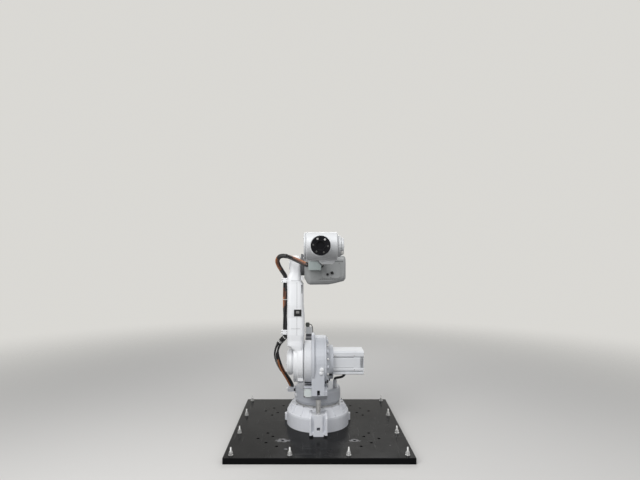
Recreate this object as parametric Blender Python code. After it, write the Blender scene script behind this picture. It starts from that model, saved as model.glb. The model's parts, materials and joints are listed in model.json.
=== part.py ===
"""Six-axis industrial robot arm bolted to a square steel floor plate.

Metres, +Z up. The arm faces -Y. The origin is on the first axis at floor level, under the plate.
"""

import math

import bmesh
import bpy
from mathutils import Matrix, Vector

# Counts, angles and tolerances
ROUND_STEPS = 44
SMALL_STEPS = 20
HOLE_STEPS = 10
CORNER_STEPS = 4
HALF_TURN = math.pi
FULL_TURN = 2 * math.pi
EDGE_ANGLE = math.radians(35)
MERGE_DISTANCE = 1e-5

# Working clearances
SEAT_GAP = 0.0003
CUT_OVERRUN = 0.002
WELD_OVERLAP = 0.004

# Axes of the arm
SHOULDER_SET = 0.150
SHOULDER_HEIGHT = 0.4865
LOWER_ARM_LENGTH = 0.700
FOREARM_RISE = 0.118
FOREARM_LENGTH = 0.640
WRIST_REACH = 0.200

# Floor plate
PLATE_SIDE = 1.200
PLATE_THICKNESS = 0.040
PLATE_CENTRE_Y = -0.038
PLATE_EDGE = 0.0015
PLATE_HOLE_RADIUS = 0.011
INNER_HOLE_RING = 0.402
OUTER_HOLE_RING = 0.503
INNER_HOLE_ANGLES = [math.radians(share * 90) for share in (0.309, 0.427, 0.587)]
OUTER_HOLE_ANGLES = [math.radians(share * 90) for share in (0.386, 0.506, 0.628)]

# Base casting: heights fall from the top of the deck
BASE_RADIUS = 0.2305
BASE_HEIGHT = 0.160
BASE_DECK_INSET = 0.0425
BASE_DECK_RADIUS = BASE_RADIUS - BASE_DECK_INSET
BASE_DECK_FALL = 0.054
BASE_DECK_FOOT = BASE_HEIGHT - BASE_DECK_FALL
BASE_EDGE_INSET = 0.0085
BASE_EDGE_FALL = 0.018
BASE_EDGE_SHARE = 0.3
BASE_RIB_COUNT = 16
BASE_RIB_THICKNESS = 0.010
BASE_RIB_RISE = 0.007
BASE_RING_RADIUS = 0.166
BASE_RING_HEIGHT = 0.0095
DECK_PAD_INNER = 0.165
DECK_PAD_OUTER = 0.192
DECK_PAD_FOOT_X = 0.204
DECK_PAD_FRONT_Y = -0.085
DECK_PAD_REAR_Y = -0.015
FOOT_HALF_WIDTH = 0.050
FOOT_REACH = 0.297
FOOT_DROP = 0.0175
FOOT_HEIGHT = BASE_HEIGHT - FOOT_DROP
FOOT_COLUMN_HALF_WIDTH = 0.029
FOOT_RECESS_DEPTH = 0.018
FOOT_RECESS_LOW = 0.026
FOOT_RIB_THICKNESS = 0.012
FOOT_RIB_REACH = 0.307
FOOT_RIB_DROP = 0.010
FOOT_RIB_HEIGHT = BASE_HEIGHT - FOOT_RIB_DROP
FOOT_RIB_INNER = 0.190
FOOT_RIB_SLOPE = 0.060
FOOT_RIB_FALL = 0.024
SOCKET_SIDE = 0.023
SOCKET_HEIGHT = 0.051
SOCKET_DEPTH = 0.060
FOOT_NOTCH_INNER = 0.036
FOOT_NOTCH_HEIGHT = 0.011
FOOT_NOTCH_DEPTH = 0.040
LUG_RADIUS = 0.028
LUG_INSET = 0.0085
LUG_CENTRE_X = BASE_RADIUS - LUG_INSET
LUG_CENTRE_Y = 0.060
LUG_HEIGHT = 0.050
LUG_HOLE_RADIUS = 0.009
BASE_TAIL_HALF_WIDTH = 0.130
BASE_TAIL_REACH = 0.300
BASE_TAIL_DROP = 0.020
BASE_TAIL_HEIGHT = BASE_HEIGHT - BASE_TAIL_DROP
CONNECTOR_BOX_HALF_WIDTH = 0.110
CONNECTOR_BOX_LOW = 0.020
CONNECTOR_BOX_RISE = 0.010
CONNECTOR_BOX_DEPTH = 0.041
CONNECTOR_BOX_EDGE = 0.006
POWER_PLUG_RADIUS = 0.026
POWER_PLUG_LENGTH = 0.045
POWER_PLUG_X = -0.050
SIGNAL_PLUG_RADIUS = 0.018
SIGNAL_PLUG_LENGTH = 0.038
SIGNAL_PLUG_X = 0.045
PLUG_DROP = 0.050
PLUG_COLLAR_SHARE = 1.15

# Shoulder gearbox, and the turret's levels as shares of the room between base and gearbox
GEARBOX_RADIUS = 0.155
GEARBOX_FACE = -0.0985
GEARBOX_SEAT_RADIUS = 0.125
GEARBOX_EDGE = 0.005
TURRET_LOW = BASE_HEIGHT + BASE_RING_HEIGHT + 2 * SEAT_GAP
TURRET_ROOM = SHOULDER_HEIGHT - GEARBOX_RADIUS - TURRET_LOW
DRUM_BAND_LOW_SHARE = 0.123
DRUM_BAND_HIGH_SHARE = 0.532
DRUM_ROUND_SHARE = 0.630
DRUM_TOP_SHARE = 0.669
NOSE_UNDERSIDE_SHARE = 0.545
NOSE_CHIN_SHARE = 0.786
NOSE_SLOT_SHARE = 0.895
NOSE_BLOCK_FRONT_SHARE = 0.96
NOSE_BLOCK_TOP_SHARE = 1.084
WEB_LOW_SHARE = 0.569
WEB_HIGH_SHARE = 0.941
COVER_PLATE_LOW_SHARE = 0.6375
COVER_PLATE_HIGH_SHARE = 0.997
LIP_LOW_SHARE = 1.022
LIP_HIGH_SHARE = 1.078
CHEEK_REAR_SHARE = 0.99
BRACKET_LOW_SHARE = 0.408
BRACKET_HIGH_SHARE = 0.594

# Turret
DRUM_RADIUS = 0.170
DRUM_LOW_RADIUS = 0.160
DRUM_ROUND_RADIUS = 0.165
DRUM_TOP_RADIUS = 0.155
CHEEK_LEFT = -0.047
CHEEK_RIM_X = -0.025
CHEEK_RIGHT = 0.040
CHEEK_RADIUS = 0.191
CHEEK_RIM_RADIUS = 0.208
CHEEK_EDGE = 0.004
CHEEK_START_ANGLE = math.radians(-25)
CHEEK_STEPS = 26
CHEEK_REAR_Y = 0.120
NOSE_CHIN_Y = -0.300
NOSE_FRONT_Y = -0.350
NOSE_BLOCK_Y = -0.344
NOSE_BLOCK_X = 0.060
NOSE_BLOCK_REAR_Y = -0.160
SLOT_WIDTH = 0.019
SLOT_HEIGHT = 0.038
SLOT_DEPTH = 0.060
WEB_LEFT = -0.096
WEB_FRONT_Y = -0.285
LIP_FRONT_Y = -0.300
LIP_REAR_Y = -0.262
COVER_PLATE_LEFT = -0.100
COVER_PLATE_THICKNESS = 0.012
COVER_PLATE_CORNER = 0.014
COVER_PLATE_EDGE = 0.002
STOP_PIN_RADIUS = 0.0175
STOP_PIN_Y = -0.250
STOP_PIN_HEADROOM = 0.0105
STOP_PIN_EDGE = 0.003
MOTOR_FLANGE_RADIUS = 0.190
MOTOR_FLANGE_RIM = 0.014
MOTOR_FLANGE_NECK_RADIUS = 0.120
MOTOR_FLANGE_FACE = 0.1055
MOTOR_FLANGE_SHARES = ((0.80, 0.28), (0.40, 0.45), (0.10, 0.62), (0.0, 0.80))
FLANGE_LUG_COUNT = 10
FLANGE_LUG_RING = 0.166
FLANGE_LUG_RADIUS = 0.014
FLANGE_LUG_LENGTH = 0.024
MOTOR_SIDE = 0.166
MOTOR_RISE = 0.009
MOTOR_HEIGHT = SHOULDER_HEIGHT + MOTOR_RISE
MOTOR_BODY_END = 0.2660
MOTOR_END = 0.3210
MOTOR_SIDE_SHARES = (
    (0.86, 0.0),
    (1.0, 0.035),
    (1.0, 0.085),
    (0.86, 0.100),
    (0.86, 0.155),
    (0.99, 0.170),
    (0.99, 0.265),
    (0.94, 0.285),
    (0.96, 0.300),
    (0.96, 0.690),
    (0.90, 0.720),
    (0.90, 0.755),
    (1.0, 0.775),
    (1.0, 0.930),
    (0.86, 1.0),
)
MOTOR_FIN_COUNT = 4
MOTOR_FIN_DEPTH = 0.009
MOTOR_FIN_WIDTH = 0.003
MOTOR_FIN_START = 0.294
MOTOR_FIN_PITCH = 0.0062
MOTOR_FIN_LOW_SHARE = 0.31
MOTOR_FIN_HIGH_SHARE = 0.68
PEDESTAL_LEFT = -0.092
PEDESTAL_RIGHT = -0.012
PEDESTAL_FRONT_Y = 0.055
PEDESTAL_REAR_Y = 0.145
PEDESTAL_CORNER = 0.016
PEDESTAL_RISE = 0.1185
PEDESTAL_TOP = SHOULDER_HEIGHT + PEDESTAL_RISE
AXIS1_MOTOR_WIDTH = 0.050
AXIS1_MOTOR_DEPTH = 0.070
AXIS1_MOTOR_CORNER = 0.008
AXIS1_FLANGE_THICKNESS = 0.022
AXIS1_BAND_THICKNESS = 0.024
AXIS1_BODY_HEIGHT = 0.051
AXIS1_BAND_INSET = 0.003
AXIS1_CAP_RADIUS = 0.0155
AXIS1_CAP_HEIGHT = 0.032
AXIS1_CAP_EDGE = 0.005
BRACKET_OUTER_X = -0.224
BRACKET_HALF_DEPTH = 0.030
HOSE_FITTING_X = 0.126
HOSE_FITTING_Y = -0.060
HOSE_FITTING_RADIUS = 0.0125
HOSE_FITTING_SHARE = 0.36
HOSE_RADIUS = 0.008
HOSE_MOTOR_X = 0.198
HOSE_MOTOR_Y = -0.110
HOSE_SIDES = 3
HOSE_BEND_SHARES = ((0.25, 0.45), (0.80, 0.60))

# Lower arm
ARM_OUTER_X = -0.219
ARM_ELBOW_OUTER_X = -0.202
ARM_INNER_X = -0.097
ARM_MID_INNER_X = -0.105
ARM_ELBOW_INNER_X = -0.1225
ARM_CORNER = 0.028
ARM_RIM_X = -0.1745
ARM_DISC_X = -0.149
ARM_DISC_INNER_X = -0.105
ARM_DISC_RADIUS = 0.150
ARM_RIM_RADIUS = 0.140
ARM_DISC_EDGE = 0.005
ARM_RIM_EDGE = 0.003
ARM_ELBOW_RADIUS = 0.064
ARM_ROOT_START = 0.028
ARM_ROOT_HALF_DEPTH = 0.114
ARM_LOW_HALF_DEPTH = 0.108
ARM_MID_HALF_DEPTH = 0.092
ARM_STEP_HALF_DEPTH = 0.079
ARM_CLAMP_HALF_DEPTH = 0.076
ARM_NECK_HALF_DEPTH = 0.070
ARM_BLEND_RISE = 0.036
ARM_LOW_RISE = 0.168
ARM_INNER_RISE = 0.210
ARM_PLATE_START_SHARE = 0.24
ARM_PLATE_END_SHARE = 0.42
ARM_PLATE_SHARE = 0.311
ARM_STEP_RISE = 0.023
ARM_NECK_DROP = 0.055
SHOULDER_COVER_RADIUS = 0.092
SHOULDER_COVER_CLEARANCE = 0.006
SHOULDER_COVER_FACE = -0.222
SHOULDER_COVER_EDGE = 0.014
ELBOW_COVER_RADIUS = 0.034
ELBOW_COVER_THICKNESS = 0.004
ELBOW_COVER_EDGE = 0.0015
ARM_LUG_DROP = 0.0975
ARM_LUG_HEIGHT = 0.020
ARM_LUG_REACH = 0.123
ARM_LUG_RIGHT_X = -0.107
ARM_PLATE_WIDTH = 0.052
ARM_PLATE_HEIGHT = 0.047
ARM_PLATE_THICKNESS = 0.003
ARM_PLATE_X = -0.1445
STOP_LUG_RIGHT = -0.1035
STOP_LUG_LOW = 0.078
STOP_LUG_HIGH = 0.110
STOP_LUG_CLEARANCE = 0.0034
STOP_LUG_FRONT_Y = -0.062
STOP_LUG_DEPTH = 0.034
BUNDLE_RADIUS = 0.0165
BUNDLE_STANDOFF = 0.002
BUNDLE_X = ARM_OUTER_X - BUNDLE_RADIUS - BUNDLE_STANDOFF
CLAMP_WALL = 0.008
CLAMP_HEIGHT = 0.034
CLAMP_EDGE = 0.003
LOW_CLAMP_RISE = 0.215
HIGH_CLAMP_DROP = 0.113
HIGH_CLAMP_RISE = LOWER_ARM_LENGTH - HIGH_CLAMP_DROP
BUNDLE_SIDES = 3
LOWER_LOOP_BOW = 0.075
LOWER_LOOP_SHARES = ((0.150, 0.28), (0.379, 0.80), (0.640, 1.0), (0.833, 0.71), (0.953, 0.24))

# Elbow housing
BOSS_RADIUS = 0.0775
BOSS_END_X = -0.0982
HOUSING_LEFT_X = -0.0978
HOUSING_CONE_X = -0.076
HOUSING_LEFT_RADIUS = 0.098
HOUSING_LEFT_CORNER_SHARE = 0.96
HOUSING_CONE_SHARE = 0.96
HOUSING_CONE_LOW_SHARE = 0.95
HOUSING_CONE_HIGH_SHARE = 0.80
HOUSING_CONE_CORNER_SHARE = 1.5
HOUSING_LOW = 0.1405
HOUSING_CROWN = 0.088
HOUSING_HIGH = FOREARM_RISE + HOUSING_CROWN
HOUSING_FRONT = 0.120
HOUSING_BACK = 0.120
HOUSING_RIGHT_X = 0.191
HOUSING_SHOULDER_X = 0.178
HOUSING_CROWN_X = 0.070
HOUSING_SIDE_TOP = 0.066
HOUSING_CORNER = 0.040
HOUSING_SOFT_EDGE = 0.008
HOUSING_HEEL_RISE = 0.026
HOUSING_HEEL_SHARES = (0.08, 0.35)
PANEL_LEFT_X = 0.020
PANEL_RIGHT_X = 0.154
PANEL_LOW = -0.094
PANEL_CLEARANCE = 0.016
PANEL_THICKNESS = 0.005
PANEL_CORNER = 0.010
SMALL_SOCKET_RADIUS = 0.0085
LARGE_SOCKET_RADIUS = 0.0105
SMALL_SOCKET_X = 0.064
SMALL_SOCKET_RISE = -0.066
LARGE_SOCKET_X = 0.095
LARGE_SOCKET_RISE = -0.056
SOCKET_BODY_LENGTH = 0.008
HOOD_LEFT_X = -0.069
HOOD_RIGHT_X = 0.018
HOOD_HEIGHT = 0.059
HOOD_CLEARANCE = 0.0095
HOOD_REACH = 0.092
HOOD_CHAMFER = 0.026
HOOD_EDGE = 0.004
REAR_COVER_HALF_WIDTH = 0.085
REAR_COVER_DEPTH = 0.050
REAR_COVER_CORNER = 0.025
REAR_MOTOR_RADIUS = 0.044
REAR_MOTOR_LENGTH = 0.120
AXIS3_MOTOR_X = 0.125
AXIS3_MOTOR_DROP = 0.020
AXIS4_MOTOR_X = 0.020
AXIS4_MOTOR_DROP = 0.075
BEARING_RING_RADIUS = 0.084
BEARING_RING_DEPTH = 0.022
PANEL_HIGH = FOREARM_RISE - BEARING_RING_RADIUS - PANEL_CLEARANCE
HOOD_HIGH = FOREARM_RISE - BEARING_RING_RADIUS - HOOD_CLEARANCE
HOOD_LOW = HOOD_HIGH - HOOD_HEIGHT
HOOD_ENTRY_SHARE = 0.62
UPPER_LOOP_RISE = 0.146
UPPER_LOOP_SHARES = (
    (-0.159, 0.048, 0.280),
    (-0.284, 0.120, 0.528),
    (-0.326, 0.240, 0.750),
    (-0.228, 0.361, 0.931),
    (-0.022, 0.482, 0.979),
    (0.248, 0.633, 0.912),
    (0.514, 0.783, 0.788),
    (0.689, 0.873, 0.704),
    (0.862, 0.946, 0.611),
)

# Forearm
TUBE_RADIUS = 0.077
TUBE_FRONT_RADIUS = 0.070
TUBE_ROOT_RADIUS = 0.079
TUBE_ROOT_LENGTH = 0.022
TUBE_STEP_LENGTH = 0.007
TUBE_NOSE_LENGTH = 0.022
BODY_TO_WRIST = 0.175
FOREARM_BODY_END = FOREARM_LENGTH - BODY_TO_WRIST
FORK_THICKNESS = 0.015
FORK_SIDE_GAP = 0.003
FORK_RADIUS = 0.062
FORK_ROOT_HALF_HEIGHT = 0.060
FORK_ROOT_LENGTH = 0.135
FORK_ROOT_START = FOREARM_BODY_END - FORK_ROOT_LENGTH
FORK_BOSS_RADIUS = 0.050
FORK_EDGE = 0.004
WRIST_COVER_THICKNESS = 0.0182
WRIST_COVER_RADIUS = 0.051
WRIST_COVER_LENGTH = 0.250
WRIST_COVER_EDGE = 0.005
BELLY_LEFT_X = 0.002
BELLY_RIGHT_X = 0.098
BELLY_LOW = 0.106
BELLY_HIGH = 0.020
BELLY_LENGTH = 0.160
BELLY_TO_END = 0.025
BELLY_END = FOREARM_BODY_END - BELLY_TO_END
BELLY_START = BELLY_END - BELLY_LENGTH
BELLY_CORNER = 0.018

# Wrist and tool flange
WRIST_RADIUS = 0.083
WRIST_LEFT_X = -0.082
WRIST_RIGHT_X = 0.1015
WRIST_EDGE = 0.005
WRIST_CAP_RADIUS = 0.080
WRIST_CAP_THICKNESS = 0.0115
WRIST_CAP_EDGE = 0.003
NECK_RADIUS = 0.060
NECK_END = 0.125
NOSE_RADIUS = 0.052
NOSE_EDGE = 0.006
FLANGE_RADIUS = 0.0545
FLANGE_THICKNESS = 0.0277
NOSE_END = WRIST_REACH - FLANGE_THICKNESS - SEAT_GAP
FLANGE_BOLT_RING = 0.040
FLANGE_BOLT_HOLE_RADIUS = 0.004
FLANGE_BOLT_HOLE_DEPTH = 0.012
FLANGE_BOLT_COUNT = 6
FLANGE_BOLT_START = math.radians(-6)
FLANGE_BORE_RADIUS = 0.0245
FLANGE_BORE_DEPTH = 0.006
FLANGE_EDGE = 0.002
FORK_INNER_X = WRIST_RIGHT_X + FORK_SIDE_GAP
FORK_OUTER_X = FORK_INNER_X + FORK_THICKNESS

# Paints: base colour, roughness, metallic
WHITE_PAINT = ((0.80, 0.81, 0.83, 1.0), 0.38, 0.0)
BLACK_STEEL = ((0.035, 0.035, 0.037, 1.0), 0.35, 0.3)
BARE_STEEL = ((0.42, 0.42, 0.43, 1.0), 0.35, 0.9)
DARK_PLASTIC = ((0.03, 0.03, 0.032, 1.0), 0.45, 0.0)
GREY_PLASTIC = ((0.48, 0.52, 0.51, 1.0), 0.5, 0.0)
GREY_METAL = ((0.35, 0.36, 0.38, 1.0), 0.4, 0.6)
CABLE_SLEEVE = ((0.02, 0.02, 0.022, 1.0), 0.6, 0.0)


def clear_scene():
    """Remove every object, so that only this model is left."""
    for obj in list(bpy.data.objects):
        bpy.data.objects.remove(obj, do_unlink=True)


def make_frame(name, location, parent=None):
    """An empty that stands on a joint axis and carries one rigid body."""
    frame = bpy.data.objects.new(name, None)
    bpy.context.scene.collection.objects.link(frame)
    frame.location = location
    frame.parent = parent
    return frame


def paint(name, finish):
    """A Principled material with the finish's colour, roughness and metallic value."""
    colour, roughness, metallic = finish
    material = bpy.data.materials.new(name)
    material.use_nodes = True
    shader = material.node_tree.nodes["Principled BSDF"]
    shader.inputs["Base Color"].default_value = colour
    shader.inputs["Roughness"].default_value = roughness
    shader.inputs["Metallic"].default_value = metallic
    return material


def place(name, shape, frame, finish, location=(0, 0, 0)):
    """Turn a bmesh into a named object that its body's frame carries."""
    mesh = bpy.data.meshes.new(name)
    shape.to_mesh(mesh)
    shape.free()
    mesh.shade_smooth()
    mesh.set_sharp_from_angle(angle=EDGE_ANGLE)
    obj = bpy.data.objects.new(name, mesh)
    bpy.context.scene.collection.objects.link(obj)
    obj.parent = frame
    obj.location = location
    mesh.materials.append(paint(name, finish))
    return obj


def tool(shape, owner):
    """A hidden mesh in its owner's own space, for a Boolean."""
    mesh = bpy.data.meshes.new(owner.name + "_tool")
    shape.to_mesh(mesh)
    shape.free()
    obj = bpy.data.objects.new(owner.name + "_tool", mesh)
    bpy.context.scene.collection.objects.link(obj)
    obj.parent = owner.parent
    obj.location = owner.location
    obj.hide_render = True
    obj.display_type = "WIRE"
    return obj


def boolean(owner, shape, operation):
    """Join the shape to its owner, or cut it out."""
    modifier = owner.modifiers.new(operation.title(), "BOOLEAN")
    modifier.operation = operation
    modifier.solver = "EXACT"
    modifier.object = tool(shape, owner)
    return owner


def join(owner, shape):
    return boolean(owner, shape, "UNION")


def cut(owner, shape):
    return boolean(owner, shape, "DIFFERENCE")


def soften(owner, width, segments=2):
    """Round the sharp edges of a casting."""
    modifier = owner.modifiers.new("Soft edges", "BEVEL")
    modifier.width = width
    modifier.segments = segments
    modifier.limit_method = "ANGLE"
    modifier.angle_limit = EDGE_ANGLE
    modifier.use_clamp_overlap = True
    return owner


def along(axis, u, v, w):
    """A point from two cross coordinates and one along the axis."""
    if axis == "X":
        return Vector((w, u, v))
    if axis == "Y":
        return Vector((u, w, v))
    return Vector((u, v, w))


def close_faces(shape):
    """Merge points that meet on an axis and turn every face outward."""
    bmesh.ops.remove_doubles(shape, verts=shape.verts, dist=MERGE_DISTANCE)
    bmesh.ops.recalc_face_normals(shape, faces=shape.faces)
    return shape


def turned(profile, axis, centre=(0, 0), steps=ROUND_STEPS):
    """A body of revolution from (radius, place along the axis) points that start and end on the axis."""
    shape = bmesh.new()
    points = [shape.verts.new(along(axis, radius, 0, place_along)) for radius, place_along in profile]
    lines = [shape.edges.new(pair) for pair in zip(points, points[1:])]
    bmesh.ops.spin(
        shape,
        geom=points + lines,
        cent=(0, 0, 0),
        axis=along(axis, 0, 0, 1),
        angle=FULL_TURN,
        steps=steps,
    )
    close_faces(shape)
    bmesh.ops.translate(shape, verts=shape.verts, vec=along(axis, centre[0], centre[1], 0))
    return shape


def disc(radius, low, high, axis, centre=(0, 0), edge=0.0, steps=ROUND_STEPS):
    """A round plate or rod whose rims have one chamfer of the given width."""
    if not edge:
        profile = [(0, low), (radius, low), (radius, high), (0, high)]
        return turned(profile, axis, centre, steps)
    side = [(radius - edge, low), (radius, low + edge), (radius, high - edge), (radius - edge, high)]
    return turned([(0, low)] + side + [(0, high)], axis, centre, steps)


def round_disc(radius, low, high, axis, centre, rounding):
    """A round plate whose rims are rounded, like the corners of a rounded rectangle."""
    ring = radius - rounding
    lower = arc((ring, low + rounding), rounding, -HALF_TURN / 2, 0, CORNER_STEPS)
    upper = arc((ring, high - rounding), rounding, 0, HALF_TURN / 2, CORNER_STEPS)
    return turned([(0, low)] + lower + upper + [(0, high)], axis, centre)


def loft(rings):
    """A closed body through rings that all hold the same number of points."""
    shape = bmesh.new()
    loops = [[shape.verts.new(point) for point in ring] for ring in rings]
    count = len(loops[0])
    for lower, upper in zip(loops, loops[1:]):
        for index in range(count):
            following = (index + 1) % count
            shape.faces.new((lower[index], lower[following], upper[following], upper[index]))
    shape.faces.new(loops[0])
    shape.faces.new(loops[-1])
    bmesh.ops.recalc_face_normals(shape, faces=shape.faces)
    return shape


def prism(outline, axis, low, high):
    """A straight extrusion of a cross outline between two places along an axis."""
    return loft([[along(axis, u, v, level) for u, v in outline] for level in (low, high)])


def box(low, high):
    """An upright block between two corners."""
    outline = [(low[0], low[1]), (high[0], low[1]), (high[0], high[1]), (low[0], high[1])]
    return prism(outline, "Z", low[2], high[2])


def arc(centre, radius, start, end, steps):
    """Points on an arc, both ends included, with angles from the first cross direction."""
    angles = [start + (end - start) * index / steps for index in range(steps + 1)]
    return [(centre[0] + radius * math.cos(a), centre[1] + radius * math.sin(a)) for a in angles]


def rounded_rectangle(low_u, high_u, low_v, high_v, radius):
    """The outline of a rectangle with round corners."""
    corners = [
        (high_u - radius, high_v - radius),
        (low_u + radius, high_v - radius),
        (low_u + radius, low_v + radius),
        (high_u - radius, low_v + radius),
    ]
    points = []
    for index, corner in enumerate(corners):
        start = index * HALF_TURN / 2
        points += arc(corner, radius, start, start + HALF_TURN / 2, CORNER_STEPS)
    return points


def merged(shapes):
    """One mesh that holds several bodies that stay clear of each other."""
    whole = bmesh.new()
    for shape in shapes:
        mesh = bpy.data.meshes.new("part_of_pattern")
        shape.to_mesh(mesh)
        shape.free()
        whole.from_mesh(mesh)
        bpy.data.meshes.remove(mesh)
    return whole


def ring_of(shape_maker, count, start=0.0):
    """Copies of a shape, turned about the Z axis at equal angles."""
    shapes = []
    for index in range(count):
        shape = shape_maker()
        turn = Matrix.Rotation(start + FULL_TURN * index / count, 4, "Z")
        bmesh.ops.transform(shape, matrix=turn, verts=shape.verts)
        shapes.append(shape)
    return merged(shapes)


def smooth_route(points, steps):
    """A smooth curve through the route's inner points, with a straight lead at each end."""
    if len(points) == 2:
        return points
    first, *points, last = points
    ends = [points[0] * 2 - points[1]] + points + [points[-1] * 2 - points[-2]]
    route = []
    for before, start, end, after in zip(ends, ends[1:], ends[2:], ends[3:]):
        for index in range(steps):
            t = index / steps
            bend = before * -1 + start * 3 - end * 3 + after
            lean = before * 2 - start * 5 + end * 4 - after
            slope = end - before
            route.append(start + (slope * t + lean * t * t + bend * t * t * t) / 2)
    return [first] + route + [points[-1], last]


def cable(name, points, radius, frame, finish, steps=6, sides=BUNDLE_SIDES):
    """A round cable or hose with filled ends along a smooth route."""
    route = smooth_route([Vector(point) for point in points], steps)
    curve = bpy.data.curves.new(name, "CURVE")
    curve.dimensions = "3D"
    curve.bevel_depth = radius
    curve.bevel_resolution = sides
    curve.use_fill_caps = True
    spline = curve.splines.new("POLY")
    spline.points.add(len(route) - 1)
    for point, place_at in zip(spline.points, route):
        point.co = (place_at.x, place_at.y, place_at.z, 1)
    curve.materials.append(paint(name, finish))
    obj = bpy.data.objects.new(name, curve)
    bpy.context.scene.collection.objects.link(obj)
    obj.parent = frame
    return obj


# Base


def hole_places():
    """Centres of the plate's tapped holes, in two rings that are the same in each quarter."""
    places = []
    for ring, angles in ((INNER_HOLE_RING, INNER_HOLE_ANGLES), (OUTER_HOLE_RING, OUTER_HOLE_ANGLES)):
        for angle in angles:
            for side_x in (-1, 1):
                for side_y in (-1, 1):
                    x = side_x * ring * math.cos(angle)
                    y = PLATE_CENTRE_Y + side_y * ring * math.sin(angle)
                    places.append((x, y))
    return places


def mounting_plate(frame):
    half = PLATE_SIDE / 2
    low = (-half, PLATE_CENTRE_Y - half, 0)
    high = (half, PLATE_CENTRE_Y + half, PLATE_THICKNESS)
    plate = place("mounting_plate", box(low, high), frame, BLACK_STEEL)
    soften(plate, PLATE_EDGE, 1)
    low_cut = -CUT_OVERRUN
    high_cut = PLATE_THICKNESS + CUT_OVERRUN
    holes = [
        disc(PLATE_HOLE_RADIUS, low_cut, high_cut, "Z", place_at, steps=HOLE_STEPS)
        for place_at in hole_places()
    ]
    cut(plate, merged(holes))


def base_rib():
    """One radial rib that stands on the sloping deck of the base."""
    half = BASE_RIB_THICKNESS / 2
    outer = BASE_RADIUS - BASE_EDGE_INSET
    outline = [
        (BASE_RING_RADIUS, BASE_DECK_FOOT - BASE_EDGE_FALL),
        (outer, BASE_DECK_FOOT - BASE_EDGE_FALL),
        (outer, BASE_DECK_FOOT + BASE_RIB_RISE),
        (BASE_DECK_RADIUS, BASE_HEIGHT + BASE_RIB_RISE / 2),
        (BASE_RING_RADIUS + BASE_RIB_RISE, BASE_HEIGHT + BASE_RIB_RISE / 2),
    ]
    return prism(outline, "Y", -half, half)


def deck_pad(side):
    """The raised block on the deck at one side of the base."""
    outline = [
        (side * DECK_PAD_INNER, BASE_DECK_FOOT),
        (side * DECK_PAD_FOOT_X, BASE_DECK_FOOT),
        (side * DECK_PAD_OUTER, BASE_HEIGHT),
        (side * DECK_PAD_INNER, BASE_HEIGHT),
    ]
    return prism(outline, "Y", DECK_PAD_FRONT_Y, DECK_PAD_REAR_Y)


def foot_rib(side):
    """An upright rib at one side of the front foot, with a sloping top."""
    inner = side * (FOOT_HALF_WIDTH - WELD_OVERLAP)
    outer = side * (FOOT_HALF_WIDTH + FOOT_RIB_THICKNESS)
    outline = [
        (-FOOT_RIB_INNER, SEAT_GAP),
        (-FOOT_RIB_REACH, SEAT_GAP),
        (-FOOT_RIB_REACH, FOOT_RIB_HEIGHT - FOOT_RIB_FALL),
        (-FOOT_RIB_REACH + FOOT_RIB_SLOPE, FOOT_RIB_HEIGHT),
        (-FOOT_RIB_INNER, FOOT_RIB_HEIGHT),
    ]
    return prism(outline, "X", min(inner, outer), max(inner, outer))


def foot_recess(side):
    """The recess between the foot's middle column and the rib at one side."""
    ends = sorted((side * FOOT_COLUMN_HALF_WIDTH, side * FOOT_HALF_WIDTH))
    low = (ends[0], -FOOT_RIB_REACH - CUT_OVERRUN, FOOT_RECESS_LOW)
    high = (ends[1], -FOOT_REACH + FOOT_RECESS_DEPTH, FOOT_HEIGHT + CUT_OVERRUN)
    return box(low, high)


def foot_notch(side):
    """The notch under the foot at one side, where the plate's bolt head has room."""
    reach = FOOT_HALF_WIDTH + FOOT_RIB_THICKNESS + CUT_OVERRUN
    ends = sorted((side * FOOT_NOTCH_INNER, side * reach))
    low = (ends[0], -FOOT_RIB_REACH - CUT_OVERRUN, SEAT_GAP - CUT_OVERRUN)
    high = (ends[1], -FOOT_RIB_REACH + FOOT_NOTCH_DEPTH, FOOT_NOTCH_HEIGHT)
    return box(low, high)


def front_socket():
    """The square opening low in the middle of the foot."""
    half = SOCKET_SIDE / 2
    low = (-half, -FOOT_REACH - CUT_OVERRUN, SOCKET_HEIGHT - half)
    return box(low, (half, -FOOT_REACH + SOCKET_DEPTH, SOCKET_HEIGHT + half))


def side_lug(side):
    """A bolt lug at one side of the base."""
    nose = arc((0, LUG_CENTRE_Y), LUG_RADIUS, -HALF_TURN / 2, HALF_TURN / 2, 8)
    nose = [(side * (LUG_CENTRE_X + x), y) for x, y in nose]
    root = side * BASE_DECK_RADIUS
    outline = [(root, LUG_CENTRE_Y - LUG_RADIUS)] + nose + [(root, LUG_CENTRE_Y + LUG_RADIUS)]
    return prism(outline, "Z", SEAT_GAP, LUG_HEIGHT)


def base_wall():
    """The round wall and sloping deck of the base."""
    shoulder = BASE_RADIUS - BASE_EDGE_INSET * BASE_EDGE_SHARE
    profile = [
        (0, SEAT_GAP),
        (BASE_RADIUS, SEAT_GAP),
        (BASE_RADIUS, BASE_DECK_FOOT - BASE_EDGE_FALL),
        (shoulder, BASE_DECK_FOOT - BASE_EDGE_FALL * BASE_EDGE_SHARE),
        (BASE_RADIUS - BASE_EDGE_INSET, BASE_DECK_FOOT),
        (BASE_DECK_RADIUS, BASE_HEIGHT),
        (0, BASE_HEIGHT),
    ]
    return turned(profile, "Z")


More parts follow.
